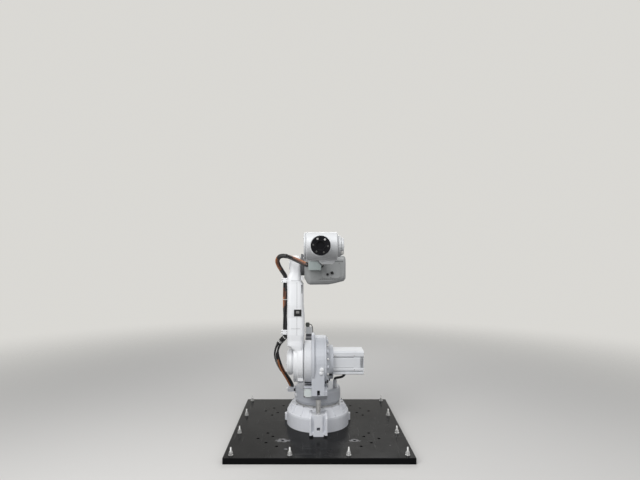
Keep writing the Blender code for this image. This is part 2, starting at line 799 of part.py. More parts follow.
def base_casting(frame):
    base = place("base_casting", base_wall(), frame, WHITE_PAINT)
    join(base, ring_of(base_rib, BASE_RIB_COUNT, FULL_TURN / BASE_RIB_COUNT / 2))
    join(base, merged([deck_pad(-1), deck_pad(1)]))
    tail_low = (-BASE_TAIL_HALF_WIDTH, 0, SEAT_GAP)
    join(base, box(tail_low, (BASE_TAIL_HALF_WIDTH, BASE_TAIL_REACH, BASE_TAIL_HEIGHT)))
    foot_low = (-FOOT_HALF_WIDTH, -FOOT_REACH, SEAT_GAP)
    foot_high = (FOOT_HALF_WIDTH, -FOOT_RIB_INNER + WELD_OVERLAP, FOOT_HEIGHT)
    join(base, box(foot_low, foot_high))
    join(base, merged([foot_rib(-1), foot_rib(1)]))
    join(base, merged([side_lug(-1), side_lug(1)]))
    cut(base, merged([foot_recess(-1), foot_recess(1), foot_notch(-1), foot_notch(1), front_socket()]))
    low_cut = SEAT_GAP - CUT_OVERRUN
    high_cut = LUG_HEIGHT + CUT_OVERRUN
    bolts = [
        disc(LUG_HOLE_RADIUS, low_cut, high_cut, "Z", (x, LUG_CENTRE_Y), steps=HOLE_STEPS)
        for x in (-LUG_CENTRE_X, LUG_CENTRE_X)
    ]
    cut(base, merged(bolts))


def base_ring(frame):
    low = BASE_HEIGHT + SEAT_GAP
    place("base_top_ring", disc(BASE_RING_RADIUS, low, low + BASE_RING_HEIGHT, "Z"), frame, GREY_METAL)


def turret_level(share):
    """A height in the room between the base and the shoulder gearbox."""
    return TURRET_LOW + TURRET_ROOM * share


def stop_pin(frame):
    """The round pin that stands on the foot and ends just under the turret's nose."""
    low = FOOT_HEIGHT + SEAT_GAP
    high = turret_level(NOSE_UNDERSIDE_SHARE) - STOP_PIN_HEADROOM
    shape = disc(STOP_PIN_RADIUS, low, high, "Z", (0, STOP_PIN_Y), STOP_PIN_EDGE, SMALL_STEPS)
    place("stop_pin", shape, frame, BARE_STEEL)


def connector_box(frame):
    low = (-CONNECTOR_BOX_HALF_WIDTH, BASE_TAIL_REACH + SEAT_GAP, CONNECTOR_BOX_LOW)
    top = BASE_TAIL_HEIGHT + CONNECTOR_BOX_RISE
    high = (CONNECTOR_BOX_HALF_WIDTH, BASE_TAIL_REACH + CONNECTOR_BOX_DEPTH, top)
    soften(place("rear_connector_box", box(low, high), frame, WHITE_PAINT), CONNECTOR_BOX_EDGE)
    plugs = (
        ("rear_power_connector", POWER_PLUG_X, POWER_PLUG_RADIUS, POWER_PLUG_LENGTH),
        ("rear_signal_connector", SIGNAL_PLUG_X, SIGNAL_PLUG_RADIUS, SIGNAL_PLUG_LENGTH),
    )
    for name, x, radius, length in plugs:
        start = high[1] + SEAT_GAP
        collar = radius * PLUG_COLLAR_SHARE
        profile = [
            (0, start),
            (collar, start),
            (collar, start + length / 3),
            (radius, start + length / 3),
            (radius, start + length),
            (0, start + length),
        ]
        shape = turned(profile, "Y", (x, BASE_TAIL_HEIGHT - PLUG_DROP), SMALL_STEPS)
        place(name, shape, frame, DARK_PLASTIC)


# Turret


def cheek_outline():
    """Side view of the shoulder cheek: round about the second axis, with a nose over the base's foot."""
    centre = (-SHOULDER_SET, SHOULDER_HEIGHT)
    crown = arc(centre, CHEEK_RADIUS, CHEEK_START_ANGLE, HALF_TURN, CHEEK_STEPS)
    underside = turret_level(NOSE_UNDERSIDE_SHARE)
    return crown + [
        (NOSE_FRONT_Y, turret_level(NOSE_CHIN_SHARE)),
        (NOSE_CHIN_Y, underside),
        (-DRUM_TOP_RADIUS, underside),
        (CHEEK_REAR_Y, turret_level(DRUM_BAND_HIGH_SHARE)),
        (CHEEK_REAR_Y, turret_level(CHEEK_REAR_SHARE)),
    ]


def nose_block():
    """The wider lower part of the nose, at the motor's side of the cheek."""
    underside = turret_level(NOSE_UNDERSIDE_SHARE)
    top = turret_level(NOSE_BLOCK_TOP_SHARE)
    outline = [
        (NOSE_BLOCK_Y, turret_level(NOSE_CHIN_SHARE)),
        (NOSE_CHIN_Y, underside),
        (NOSE_BLOCK_REAR_Y, underside),
        (NOSE_BLOCK_REAR_Y, top),
        (NOSE_CHIN_Y, top),
        (NOSE_BLOCK_Y, turret_level(NOSE_BLOCK_FRONT_SHARE)),
    ]
    return prism(outline, "X", 0, NOSE_BLOCK_X)


def turret_drum():
    """The round lower part of the turret, which turns on the base's ring."""
    profile = [
        (0, TURRET_LOW),
        (DRUM_LOW_RADIUS, TURRET_LOW),
        (DRUM_RADIUS, turret_level(DRUM_BAND_LOW_SHARE)),
        (DRUM_RADIUS, turret_level(DRUM_BAND_HIGH_SHARE)),
        (DRUM_ROUND_RADIUS, turret_level(DRUM_ROUND_SHARE)),
        (DRUM_TOP_RADIUS, turret_level(DRUM_TOP_SHARE)),
        (0, turret_level(DRUM_TOP_SHARE)),
    ]
    return turned(profile, "Z")


def turret_casting(frame):
    turret = place("turret_casting", turret_drum(), frame, WHITE_PAINT)
    join(turret, nose_block())
    flange_room = MOTOR_FLANGE_RADIUS + WELD_OVERLAP
    centre = (-SHOULDER_SET, SHOULDER_HEIGHT)
    cut(turret, disc(flange_room, CHEEK_RIGHT - WELD_OVERLAP, MOTOR_FLANGE_FACE + WELD_OVERLAP, "X", centre))
    join(turret, prism(cheek_outline(), "X", CHEEK_LEFT, CHEEK_RIGHT))
    join(turret, disc(CHEEK_RIM_RADIUS, CHEEK_LEFT + SEAT_GAP, CHEEK_RIM_X, "X", centre, CHEEK_EDGE))
    web_low = (WEB_LEFT, WEB_FRONT_Y, turret_level(WEB_LOW_SHARE))
    join(turret, box(web_low, (CHEEK_LEFT + WELD_OVERLAP, 0, turret_level(WEB_HIGH_SHARE))))
    lip_low = (COVER_PLATE_LEFT, LIP_FRONT_Y, turret_level(LIP_LOW_SHARE))
    lip_high = (CHEEK_LEFT + WELD_OVERLAP, LIP_REAR_Y, turret_level(LIP_HIGH_SHARE))
    join(turret, box(lip_low, lip_high))
    pedestal = rounded_rectangle(
        PEDESTAL_LEFT, PEDESTAL_RIGHT, PEDESTAL_FRONT_Y, PEDESTAL_REAR_Y, PEDESTAL_CORNER
    )
    join(turret, prism(pedestal, "Z", turret_level(DRUM_BAND_LOW_SHARE), PEDESTAL_TOP))
    slot_middle = turret_level(NOSE_SLOT_SHARE)
    slot_low = (-SLOT_WIDTH / 2, NOSE_FRONT_Y - CUT_OVERRUN, slot_middle - SLOT_HEIGHT / 2)
    slot_high = (SLOT_WIDTH / 2, NOSE_FRONT_Y + SLOT_DEPTH, slot_middle + SLOT_HEIGHT / 2)
    cut(turret, box(slot_low, slot_high))


def turret_cover_plate(frame):
    front = WEB_FRONT_Y - SEAT_GAP
    left = COVER_PLATE_LEFT
    right = CHEEK_LEFT - SEAT_GAP
    low = turret_level(COVER_PLATE_LOW_SHARE)
    high = turret_level(COVER_PLATE_HIGH_SHARE)
    corner = (left + COVER_PLATE_CORNER, low + COVER_PLATE_CORNER)
    outline = arc(corner, COVER_PLATE_CORNER, HALF_TURN, HALF_TURN * 3 / 2, CORNER_STEPS)
    outline += [(right, low), (right, high), (left, high)]
    plate = prism(outline, "Y", front - COVER_PLATE_THICKNESS, front)
    soften(place("turret_cover_plate", plate, frame, WHITE_PAINT), COVER_PLATE_EDGE)


def shoulder_gearbox(frame):
    low = ARM_DISC_INNER_X + SEAT_GAP
    high = CHEEK_LEFT - SEAT_GAP
    profile = [
        (0, low),
        (GEARBOX_SEAT_RADIUS, low),
        (GEARBOX_SEAT_RADIUS, GEARBOX_FACE),
        (GEARBOX_RADIUS - GEARBOX_EDGE, GEARBOX_FACE),
        (GEARBOX_RADIUS, GEARBOX_FACE + GEARBOX_EDGE),
        (GEARBOX_RADIUS, high),
        (0, high),
    ]
    shape = turned(profile, "X", (-SHOULDER_SET, SHOULDER_HEIGHT))
    place("shoulder_gearbox", shape, frame, WHITE_PAINT)


def flange_lug():
    """One bolt lug on the motor flange, drawn on the Z axis before it is turned to the X axis."""
    low = CHEEK_RIGHT + SEAT_GAP + MOTOR_FLANGE_RIM / 2
    centre = (FLANGE_LUG_RING, 0)
    return disc(FLANGE_LUG_RADIUS, low, low + FLANGE_LUG_LENGTH, "Z", centre, steps=HOLE_STEPS)


def motor_flange(frame):
    low = CHEEK_RIGHT + SEAT_GAP
    span = MOTOR_FLANGE_FACE - low
    fall = MOTOR_FLANGE_RADIUS - MOTOR_FLANGE_NECK_RADIUS
    rim = [(MOTOR_FLANGE_RADIUS, low), (MOTOR_FLANGE_RADIUS, low + MOTOR_FLANGE_RIM)]
    bell = [(MOTOR_FLANGE_NECK_RADIUS + fall * u, low + span * v) for u, v in MOTOR_FLANGE_SHARES]
    face = [(MOTOR_FLANGE_NECK_RADIUS, MOTOR_FLANGE_FACE), (0, MOTOR_FLANGE_FACE)]
    profile = [(0, low)] + rim + bell + face
    centre = (-SHOULDER_SET, SHOULDER_HEIGHT)
    flange = place("axis2_motor_flange", turned(profile, "X", centre), frame, WHITE_PAINT)
    lugs = ring_of(flange_lug, FLANGE_LUG_COUNT, FULL_TURN / FLANGE_LUG_COUNT / 2)
    turn = Matrix.Translation((0, centre[0], centre[1])) @ Matrix.Rotation(HALF_TURN / 2, 4, "Y")
    bmesh.ops.transform(lugs, matrix=turn, verts=lugs.verts)
    join(flange, lugs)


def motor_outline():
    """Cross section of the second axis motor, with a rail, a panel and a groove along each side."""
    half = MOTOR_SIDE / 2
    low = MOTOR_HEIGHT - half
    rear = [(-SHOULDER_SET + half * u, low + MOTOR_SIDE * v) for u, v in MOTOR_SIDE_SHARES]
    front = [(-SHOULDER_SET - half * u, low + MOTOR_SIDE * v) for u, v in MOTOR_SIDE_SHARES]
    return rear + front[::-1]


def motor_fins():
    """Cutters for the upright louvres on the front of the motor's end part."""
    front = -SHOULDER_SET - MOTOR_SIDE / 2
    bottom = MOTOR_HEIGHT - MOTOR_SIDE / 2
    fins = []
    for index in range(MOTOR_FIN_COUNT):
        left = MOTOR_FIN_START + MOTOR_FIN_PITCH * index
        low = (left, front - CUT_OVERRUN, bottom + MOTOR_SIDE * MOTOR_FIN_LOW_SHARE)
        high = (left + MOTOR_FIN_WIDTH, front + MOTOR_FIN_DEPTH, bottom + MOTOR_SIDE * MOTOR_FIN_HIGH_SHARE)
        fins.append(box(low, high))
    return merged(fins)


def axis2_motor(frame):
    low = MOTOR_FLANGE_FACE + SEAT_GAP
    place("axis2_motor", prism(motor_outline(), "X", low, MOTOR_BODY_END), frame, WHITE_PAINT)
    start = MOTOR_BODY_END + SEAT_GAP
    end = place("axis2_motor_end", prism(motor_outline(), "X", start, MOTOR_END), frame, WHITE_PAINT)
    cut(end, motor_fins())


def axis1_motor(frame):
    """Slim upright motor behind the shoulder: a flange, a waist and a body on top of each other."""
    left = PEDESTAL_LEFT
    right = left + AXIS1_MOTOR_WIDTH
    middle_y = (PEDESTAL_FRONT_Y + PEDESTAL_REAR_Y) / 2
    front = middle_y - AXIS1_MOTOR_DEPTH / 2
    rear = middle_y + AXIS1_MOTOR_DEPTH / 2
    inset = AXIS1_BAND_INSET
    low = PEDESTAL_TOP + SEAT_GAP
    band = low + AXIS1_FLANGE_THICKNESS
    body = band + AXIS1_BAND_THICKNESS
    top = body + AXIS1_BODY_HEIGHT
    flange = rounded_rectangle(left, right, front, rear, AXIS1_MOTOR_CORNER)
    waist = rounded_rectangle(
        left + inset, right - inset, front + inset, rear - inset, AXIS1_MOTOR_CORNER - inset
    )
    motor = place("axis1_motor", prism(flange, "Z", low, band), frame, WHITE_PAINT)
    join(motor, prism(waist, "Z", band - WELD_OVERLAP, body + WELD_OVERLAP))
    join(motor, prism(flange, "Z", body, top))
    cap_low = top + SEAT_GAP
    centre = (left + AXIS1_CAP_RADIUS, middle_y)
    cap_high = cap_low + AXIS1_CAP_HEIGHT
    cap = disc(AXIS1_CAP_RADIUS, cap_low, cap_high, "Z", centre, AXIS1_CAP_EDGE, SMALL_STEPS)
    place("axis1_motor_cap", cap, frame, DARK_PLASTIC)


def harness_bracket(frame):
    """The bracket on the drum that holds the lower end of the cable bow."""
    bracket_low = turret_level(BRACKET_LOW_SHARE)
    bracket_high = turret_level(BRACKET_HIGH_SHARE)
    low = (BRACKET_OUTER_X, -BRACKET_HALF_DEPTH, bracket_low)
    high = (-DRUM_LOW_RADIUS, BRACKET_HALF_DEPTH, bracket_high)
    bracket = place("turret_harness_bracket", box(low, high), frame, WHITE_PAINT)
    cut(bracket, disc(DRUM_RADIUS + SEAT_GAP, bracket_low - CUT_OVERRUN, bracket_high + CUT_OVERRUN, "Z"))


def motor_hose(frame):
    """The bent hose from the fitting on the drum to the underside of the motor."""
    start = turret_level(DRUM_TOP_SHARE) + SEAT_GAP
    x = HOSE_FITTING_X
    y = HOSE_FITTING_Y
    top = start + TURRET_ROOM * HOSE_FITTING_SHARE
    fitting = disc(HOSE_FITTING_RADIUS, start, top, "Z", (x, y), steps=SMALL_STEPS)
    place("motor_hose_fitting", fitting, frame, WHITE_PAINT)
    motor_low = MOTOR_HEIGHT - MOTOR_SIDE / 2 - SEAT_GAP
    ends = (top + HOSE_RADIUS, motor_low - HOSE_RADIUS)
    points = [(x, y, top + SEAT_GAP), (x, y, ends[0])]
    for way, climb in HOSE_BEND_SHARES:
        bend_x = x + (HOSE_MOTOR_X - x) * way
        bend_y = y + (HOSE_MOTOR_Y - y) * way
        points.append((bend_x, bend_y, ends[0] + (ends[1] - ends[0]) * climb))
    points += [(HOSE_MOTOR_X, HOSE_MOTOR_Y, ends[1]), (HOSE_MOTOR_X, HOSE_MOTOR_Y, motor_low)]
    cable("motor_hose", points, HOSE_RADIUS, frame, CABLE_SLEEVE, HOSE_SIDES, HOSE_SIDES)


# Lower arm


def arm_sections():
    """Cross sections up the arm: (rise, outer face, inner face, half depth)."""
    inner = ARM_DISC_INNER_X
    outer = ARM_OUTER_X
    elbow = ARM_ELBOW_INNER_X
    root = SHOULDER_COVER_RADIUS + SHOULDER_COVER_CLEARANCE
    free = LOWER_ARM_LENGTH - ARM_INNER_RISE
    step = LOWER_ARM_LENGTH - STOP_LUG_HIGH - STOP_LUG_CLEARANCE
    clamp_end = bundle_high() + CLAMP_EDGE
    return [
        (ARM_ROOT_START, ARM_RIM_X, inner, ARM_ROOT_HALF_DEPTH),
        (root, ARM_RIM_X, inner, ARM_ROOT_HALF_DEPTH),
        (root + ARM_BLEND_RISE, outer, inner, ARM_ROOT_HALF_DEPTH),
        (ARM_LOW_RISE, outer, inner, ARM_LOW_HALF_DEPTH),
        (ARM_INNER_RISE, outer, ARM_INNER_X, ARM_LOW_HALF_DEPTH),
        (ARM_INNER_RISE + free * ARM_PLATE_START_SHARE, outer, ARM_INNER_X, ARM_MID_HALF_DEPTH),
        (ARM_INNER_RISE + free * ARM_PLATE_END_SHARE, outer, ARM_MID_INNER_X, ARM_MID_HALF_DEPTH),
        (step - ARM_STEP_RISE, outer, ARM_MID_INNER_X, ARM_STEP_HALF_DEPTH),
        (step, outer, elbow, ARM_STEP_HALF_DEPTH),
        (clamp_end, outer, elbow, ARM_CLAMP_HALF_DEPTH),
        (LOWER_ARM_LENGTH - ARM_NECK_DROP, ARM_ELBOW_OUTER_X, elbow, ARM_NECK_HALF_DEPTH),
        (LOWER_ARM_LENGTH, ARM_ELBOW_OUTER_X, elbow, ARM_ELBOW_RADIUS),
    ]


def lower_arm_casting(frame):
    rings = []
    for rise, outer, inner, half in arm_sections():
        outline = rounded_rectangle(outer, inner, -half, half, ARM_CORNER)
        rings.append([along("Z", x, y, rise) for x, y in outline])
    arm = place("lower_arm_casting", loft(rings), frame, WHITE_PAINT)
    join(arm, disc(ARM_DISC_RADIUS, ARM_DISC_X, ARM_DISC_INNER_X, "X", edge=ARM_DISC_EDGE))
    join(arm, disc(ARM_RIM_RADIUS, ARM_RIM_X, ARM_DISC_X + WELD_OVERLAP, "X", edge=ARM_RIM_EDGE))
    elbow = (0, LOWER_ARM_LENGTH)
    join(arm, round_disc(ARM_ELBOW_RADIUS, ARM_ELBOW_OUTER_X, ARM_ELBOW_INNER_X, "X", elbow, ARM_CORNER))
    lug_low = (ARM_DISC_X + ARM_DISC_EDGE, -ARM_LUG_REACH, -ARM_LUG_DROP - ARM_LUG_HEIGHT / 2)
    join(arm, box(lug_low, (ARM_LUG_RIGHT_X, 0, -ARM_LUG_DROP + ARM_LUG_HEIGHT / 2)))


def arm_covers(frame):
    high = ARM_RIM_X - SEAT_GAP
    shoulder = disc(SHOULDER_COVER_RADIUS, SHOULDER_COVER_FACE, high, "X", edge=SHOULDER_COVER_EDGE)
    place("shoulder_cover", shoulder, frame, WHITE_PAINT)
    high = ARM_ELBOW_OUTER_X - SEAT_GAP
    low = high - ELBOW_COVER_THICKNESS
    centre = (0, LOWER_ARM_LENGTH)
    elbow = disc(ELBOW_COVER_RADIUS, low, high, "X", centre, ELBOW_COVER_EDGE, SMALL_STEPS)
    place("elbow_cover", elbow, frame, WHITE_PAINT)


def arm_plate(frame):
    """The dark square plate on the front of the arm."""
    face = -ARM_MID_HALF_DEPTH - SEAT_GAP
    middle = ARM_INNER_RISE + (LOWER_ARM_LENGTH - ARM_INNER_RISE) * ARM_PLATE_SHARE
    half = ARM_PLATE_HEIGHT / 2
    low = (ARM_PLATE_X - ARM_PLATE_WIDTH / 2, face - ARM_PLATE_THICKNESS, middle - half)
    high = (ARM_PLATE_X + ARM_PLATE_WIDTH / 2, face, middle + half)
    place("arm_plate", box(low, high), frame, DARK_PLASTIC)


def elbow_stop(frame):
    """The stop lug under the elbow bearing, on the inner face of the arm."""
    low = (ARM_ELBOW_INNER_X + SEAT_GAP, STOP_LUG_FRONT_Y, LOWER_ARM_LENGTH - STOP_LUG_HIGH)
    high = (STOP_LUG_RIGHT, STOP_LUG_FRONT_Y + STOP_LUG_DEPTH, LOWER_ARM_LENGTH - STOP_LUG_LOW)
    place("elbow_stop", box(low, high), frame, WHITE_PAINT)


def harness_clamp(name, frame, rise):
    """A clamp block on the outer face of the arm with the cable bundle through it."""
    reach = BUNDLE_RADIUS + CLAMP_WALL
    half = CLAMP_HEIGHT / 2
    low = (BUNDLE_X - reach, -reach, rise - half)
    clamp = place(name, box(low, (ARM_OUTER_X - SEAT_GAP, reach, rise + half)), frame, WHITE_PAINT)
    soften(clamp, CLAMP_EDGE)
    low_cut = rise - half - CUT_OVERRUN
    high_cut = rise + half + CUT_OVERRUN
    hole = disc(BUNDLE_RADIUS + SEAT_GAP, low_cut, high_cut, "Z", (BUNDLE_X, 0), steps=SMALL_STEPS)
    cut(clamp, hole)


def bundle_low():
    """Lower end of the straight run of cables on the arm."""
    return LOW_CLAMP_RISE - CLAMP_HEIGHT / 2


def bundle_high():
    """Upper end of the straight run of cables on the arm."""
    return HIGH_CLAMP_RISE + CLAMP_HEIGHT / 2


def harness_arm_run(frame):
    points = [(BUNDLE_X, 0, bundle_low()), (BUNDLE_X, 0, bundle_high())]
    cable("harness_arm_run", points, BUNDLE_RADIUS, frame, CABLE_SLEEVE, 2)


def harness_lower_loop(frame):
    """The slack bow of cables between the turret's bracket and the lower arm."""
    start_x = (BRACKET_OUTER_X - DRUM_RADIUS) / 2
    bracket_top = turret_level(BRACKET_HIGH_SHARE)
    arm_end = SHOULDER_HEIGHT + bundle_low()
    low = bracket_top + BUNDLE_RADIUS
    high = arm_end - BUNDLE_RADIUS
    points = [(start_x, 0, bracket_top + SEAT_GAP), (start_x, 0, low)]
    for share, bow in LOWER_LOOP_SHARES:
        x = start_x + (BUNDLE_X - start_x) * share - LOWER_LOOP_BOW * bow
        points.append((x, -SHOULDER_SET * share, low + (high - low) * share))
    points += [(BUNDLE_X, -SHOULDER_SET, high), (BUNDLE_X, -SHOULDER_SET, arm_end - SEAT_GAP)]
    cable("harness_lower_loop", points, BUNDLE_RADIUS, frame, CABLE_SLEEVE)


# Elbow housing


def elbow_bearing(frame):
    low = ARM_ELBOW_INNER_X + SEAT_GAP
    place("elbow_bearing", disc(BOSS_RADIUS, low, BOSS_END_X, "X"), frame, GREY_METAL)


def housing_ring(x, front, back, low, high, corner):
    outline = rounded_rectangle(-front, back, low, high, corner)
    return [along("X", y, z, x) for y, z in outline]


def elbow_housing(frame):
    left = HOUSING_LEFT_RADIUS
    low = -HOUSING_LOW
    corner = HOUSING_CORNER
    inset = HOUSING_RIGHT_X - HOUSING_SHOULDER_X
    cone_front = HOUSING_FRONT * HOUSING_CONE_SHARE
    cone_back = HOUSING_BACK * HOUSING_CONE_SHARE
    cone_low = low * HOUSING_CONE_LOW_SHARE
    cone_high = HOUSING_HIGH * HOUSING_CONE_HIGH_SHARE
    cone_corner = corner * HOUSING_CONE_CORNER_SHARE
    full_x = HOUSING_CONE_X + corner / 2
    crown_low, side_low = [low + HOUSING_HEEL_RISE * share for share in HOUSING_HEEL_SHARES]
    end_low = low + HOUSING_HEEL_RISE
    side = HOUSING_SIDE_TOP
    end_front = HOUSING_FRONT - inset
    end_back = HOUSING_BACK - inset
    rings = [
        housing_ring(HOUSING_LEFT_X, left, left, -left, left, left * HOUSING_LEFT_CORNER_SHARE),
        housing_ring(HOUSING_CONE_X, cone_front, cone_back, cone_low, cone_high, cone_corner),
        housing_ring(full_x, HOUSING_FRONT, HOUSING_BACK, low, HOUSING_HIGH, corner),
        housing_ring(HOUSING_CROWN_X, HOUSING_FRONT, HOUSING_BACK, crown_low, HOUSING_HIGH, corner),
        housing_ring(HOUSING_CROWN_X + corner, HOUSING_FRONT, HOUSING_BACK, side_low, side + inset, corner),
        housing_ring(HOUSING_SHOULDER_X, HOUSING_FRONT, HOUSING_BACK, end_low, side, corner),
        housing_ring(HOUSING_RIGHT_X, end_front, end_back, end_low + inset, side - inset, corner),
    ]
    place("elbow_housing", loft(rings), frame, WHITE_PAINT)


def front_panel(frame):
    face = -HOUSING_FRONT - SEAT_GAP
    outline = rounded_rectangle(PANEL_LEFT_X, PANEL_RIGHT_X, PANEL_LOW, PANEL_HIGH, PANEL_CORNER)
    panel = prism(outline, "Y", face - PANEL_THICKNESS, face)
    place("housing_front_panel", panel, frame, WHITE_PAINT)
    sockets = (
        ("socket_small", SMALL_SOCKET_X, SMALL_SOCKET_RISE, SMALL_SOCKET_RADIUS),
        ("socket_large", LARGE_SOCKET_X, LARGE_SOCKET_RISE, LARGE_SOCKET_RADIUS),
    )
    for name, x, rise, radius in sockets:
        high = face - PANEL_THICKNESS - SEAT_GAP
        low = high - SOCKET_BODY_LENGTH
        place(name, disc(radius, low, high, "Y", (x, rise), steps=SMALL_STEPS), frame, DARK_PLASTIC)


def cable_hood(frame):
    """The grey hood that the cables enter, with a chamfered end towards the panel."""
    high_y = -HOUSING_FRONT - SEAT_GAP
    outline = [
        (HOOD_LEFT_X, HOOD_LOW),
        (HOOD_RIGHT_X, HOOD_LOW),
        (HOOD_RIGHT_X, HOOD_HIGH - HOOD_CHAMFER),
        (HOOD_RIGHT_X - HOOD_CHAMFER, HOOD_HIGH),
        (HOOD_LEFT_X, HOOD_HIGH),
    ]
    hood = place("cable_hood", prism(outline, "Y", high_y - HOOD_REACH, high_y), frame, GREY_PLASTIC)
    soften(hood, HOOD_EDGE)


def forearm_bearing(frame):
    low = -HOUSING_FRONT - SEAT_GAP - BEARING_RING_DEPTH
    ring = disc(BEARING_RING_RADIUS, low, -HOUSING_FRONT - SEAT_GAP, "Y", (0, FOREARM_RISE))
    place("forearm_bearing", ring, frame, GREY_METAL)


def rear_parts(frame):
    low = HOUSING_BACK + SEAT_GAP
    cover_low = FOREARM_RISE - REAR_COVER_HALF_WIDTH
    outline = rounded_rectangle(
        -REAR_COVER_HALF_WIDTH,
        REAR_COVER_HALF_WIDTH,
        cover_low,
        HOUSING_HIGH,
        REAR_COVER_CORNER,
    )
    cover = place("rear_cover", prism(outline, "Y", low, low + REAR_COVER_DEPTH), frame, WHITE_PAINT)
    soften(cover, HOUSING_SOFT_EDGE)
    motors = (
        ("axis3_motor", AXIS3_MOTOR_X, -AXIS3_MOTOR_DROP),
        ("axis4_motor", AXIS4_MOTOR_X, -AXIS4_MOTOR_DROP),
    )
    for name, x, rise in motors:
        body = disc(
            REAR_MOTOR_RADIUS,
            low,
            low + REAR_MOTOR_LENGTH,
            "Y",
            (x, rise),
            REAR_MOTOR_RADIUS / 8,
            SMALL_STEPS,
        )
        place(name, body, frame, WHITE_PAINT)


def harness_upper_loop(frame):
    """The bow of cables from the lower arm over the elbow into the hood."""
    entry = HOOD_LOW + HOOD_HEIGHT * HOOD_ENTRY_SHARE
    hood_y = -HOUSING_FRONT - HOOD_REACH / 2
    arm_end = bundle_high() - LOWER_ARM_LENGTH
    start = Vector((BUNDLE_X, 0, arm_end + BUNDLE_RADIUS))
    end = Vector((HOOD_LEFT_X - BUNDLE_RADIUS / 2, hood_y, entry))
    points = [(BUNDLE_X, 0, arm_end + SEAT_GAP), start]
    for x_share, y_share, z_share in UPPER_LOOP_SHARES:
        x = start.x + (end.x - start.x) * x_share
        points.append((x, end.y * y_share, start.z + UPPER_LOOP_RISE * z_share))
    points += [end, (HOOD_LEFT_X - SEAT_GAP, hood_y, entry)]
    cable("harness_upper_loop", points, BUNDLE_RADIUS, frame, CABLE_SLEEVE, 4)


# Forearm


def fork_root(grow=0.0):
    """The block that carries the side arm off the forearm tube."""
    low = (0, -FOREARM_BODY_END + FORK_EDGE - grow, -FORK_ROOT_HALF_HEIGHT - grow)
    high = (FORK_OUTER_X + grow, -FORK_ROOT_START + grow, FORK_ROOT_HALF_HEIGHT + grow)
    return box(low, high)


def fork_arm():
    """The side arm that ends round about the wrist axis."""
    wrist_y = -FOREARM_LENGTH
    nose = arc((wrist_y, 0), FORK_RADIUS, HALF_TURN / 2, HALF_TURN * 3 / 2, 18)
    root_y = -FORK_ROOT_START - FORK_EDGE
    outline = nose + [(root_y, -FORK_ROOT_HALF_HEIGHT), (root_y, FORK_ROOT_HALF_HEIGHT)]
    return prism(outline, "X", FORK_INNER_X, FORK_OUTER_X)


def forearm_casting(frame):
    start = -HOUSING_FRONT - SEAT_GAP - BEARING_RING_DEPTH - SEAT_GAP
    step = start - TUBE_ROOT_LENGTH
    end = -FOREARM_BODY_END
    profile = [
        (0, start),
        (TUBE_ROOT_RADIUS, start),
        (TUBE_ROOT_RADIUS, step),
        (TUBE_RADIUS, step - TUBE_STEP_LENGTH),
        (TUBE_RADIUS, end + TUBE_NOSE_LENGTH),
        (TUBE_FRONT_RADIUS, end),
        (0, end),
    ]
    forearm = place("forearm_casting", turned(profile, "Y"), frame, WHITE_PAINT)
    join(forearm, fork_root())
    join(forearm, fork_arm())
    boss_low = WRIST_RIGHT_X + SEAT_GAP
    boss_high = FORK_INNER_X + WELD_OVERLAP
    join(forearm, disc(FORK_BOSS_RADIUS, boss_low, boss_high, "X", (-FOREARM_LENGTH, 0)))


def wrist_gear_cover(frame):
    wrist_y = -FOREARM_LENGTH
    radius = WRIST_COVER_RADIUS
    nose = arc((wrist_y, 0), radius, HALF_TURN / 2, HALF_TURN * 3 / 2, 14)
    root_y = wrist_y + WRIST_COVER_LENGTH
    outline = nose + [(root_y, -radius), (root_y, radius)]
    low = FORK_OUTER_X + SEAT_GAP
    cover = prism(outline, "X", low, low + WRIST_COVER_THICKNESS)
    soften(place("wrist_gear_cover", cover, frame, WHITE_PAINT), WRIST_COVER_EDGE)


def forearm_belly(frame):
    """The motor bulge under the forearm, shaped to the tube and to the fork's root."""
    outline = rounded_rectangle(BELLY_LEFT_X, BELLY_RIGHT_X, -BELLY_LOW, -BELLY_HIGH, BELLY_CORNER)
    belly = place("forearm_motor_belly", prism(outline, "Y", -BELLY_END, -BELLY_START), frame, WHITE_PAINT)
    cut(belly, disc(TUBE_RADIUS + SEAT_GAP, -BELLY_END - CUT_OVERRUN, -BELLY_START + CUT_OVERRUN, "Y"))
    cut(belly, fork_root(SEAT_GAP))


# Wrist and tool flange


def wrist_housing(frame):
    shape = disc(WRIST_RADIUS, WRIST_LEFT_X, WRIST_RIGHT_X, "X", edge=WRIST_EDGE)
    wrist = place("wrist_housing", shape, frame, WHITE_PAINT)
    join(wrist, disc(NECK_RADIUS, -NECK_END, 0, "Y"))
    high = WRIST_LEFT_X - SEAT_GAP
    cap = disc(WRIST_CAP_RADIUS, high - WRIST_CAP_THICKNESS, high, "X", edge=WRIST_CAP_EDGE)
    place("wrist_end_cap", cap, frame, WHITE_PAINT)
    nose = disc(NOSE_RADIUS, -NOSE_END, -NECK_END - SEAT_GAP, "Y", edge=NOSE_EDGE)
    place("wrist_nose", nose, frame, WHITE_PAINT)


def tool_flange(frame):
    shape = disc(FLANGE_RADIUS, 0, FLANGE_THICKNESS, "Y", edge=FLANGE_EDGE)
    flange = place("tool_flange", shape, frame, BLACK_STEEL)
    holes = [disc(FLANGE_BORE_RADIUS, -CUT_OVERRUN, FLANGE_BORE_DEPTH, "Y", steps=SMALL_STEPS)]
    radius = FLANGE_BOLT_HOLE_RADIUS
    for index in range(FLANGE_BOLT_COUNT):
        angle = FLANGE_BOLT_START + FULL_TURN * index / FLANGE_BOLT_COUNT
        centre = (FLANGE_BOLT_RING * math.cos(angle), FLANGE_BOLT_RING * math.sin(angle))
        holes.append(disc(radius, -CUT_OVERRUN, FLANGE_BOLT_HOLE_DEPTH, "Y", centre, steps=HOLE_STEPS))
    cut(flange, merged(holes))


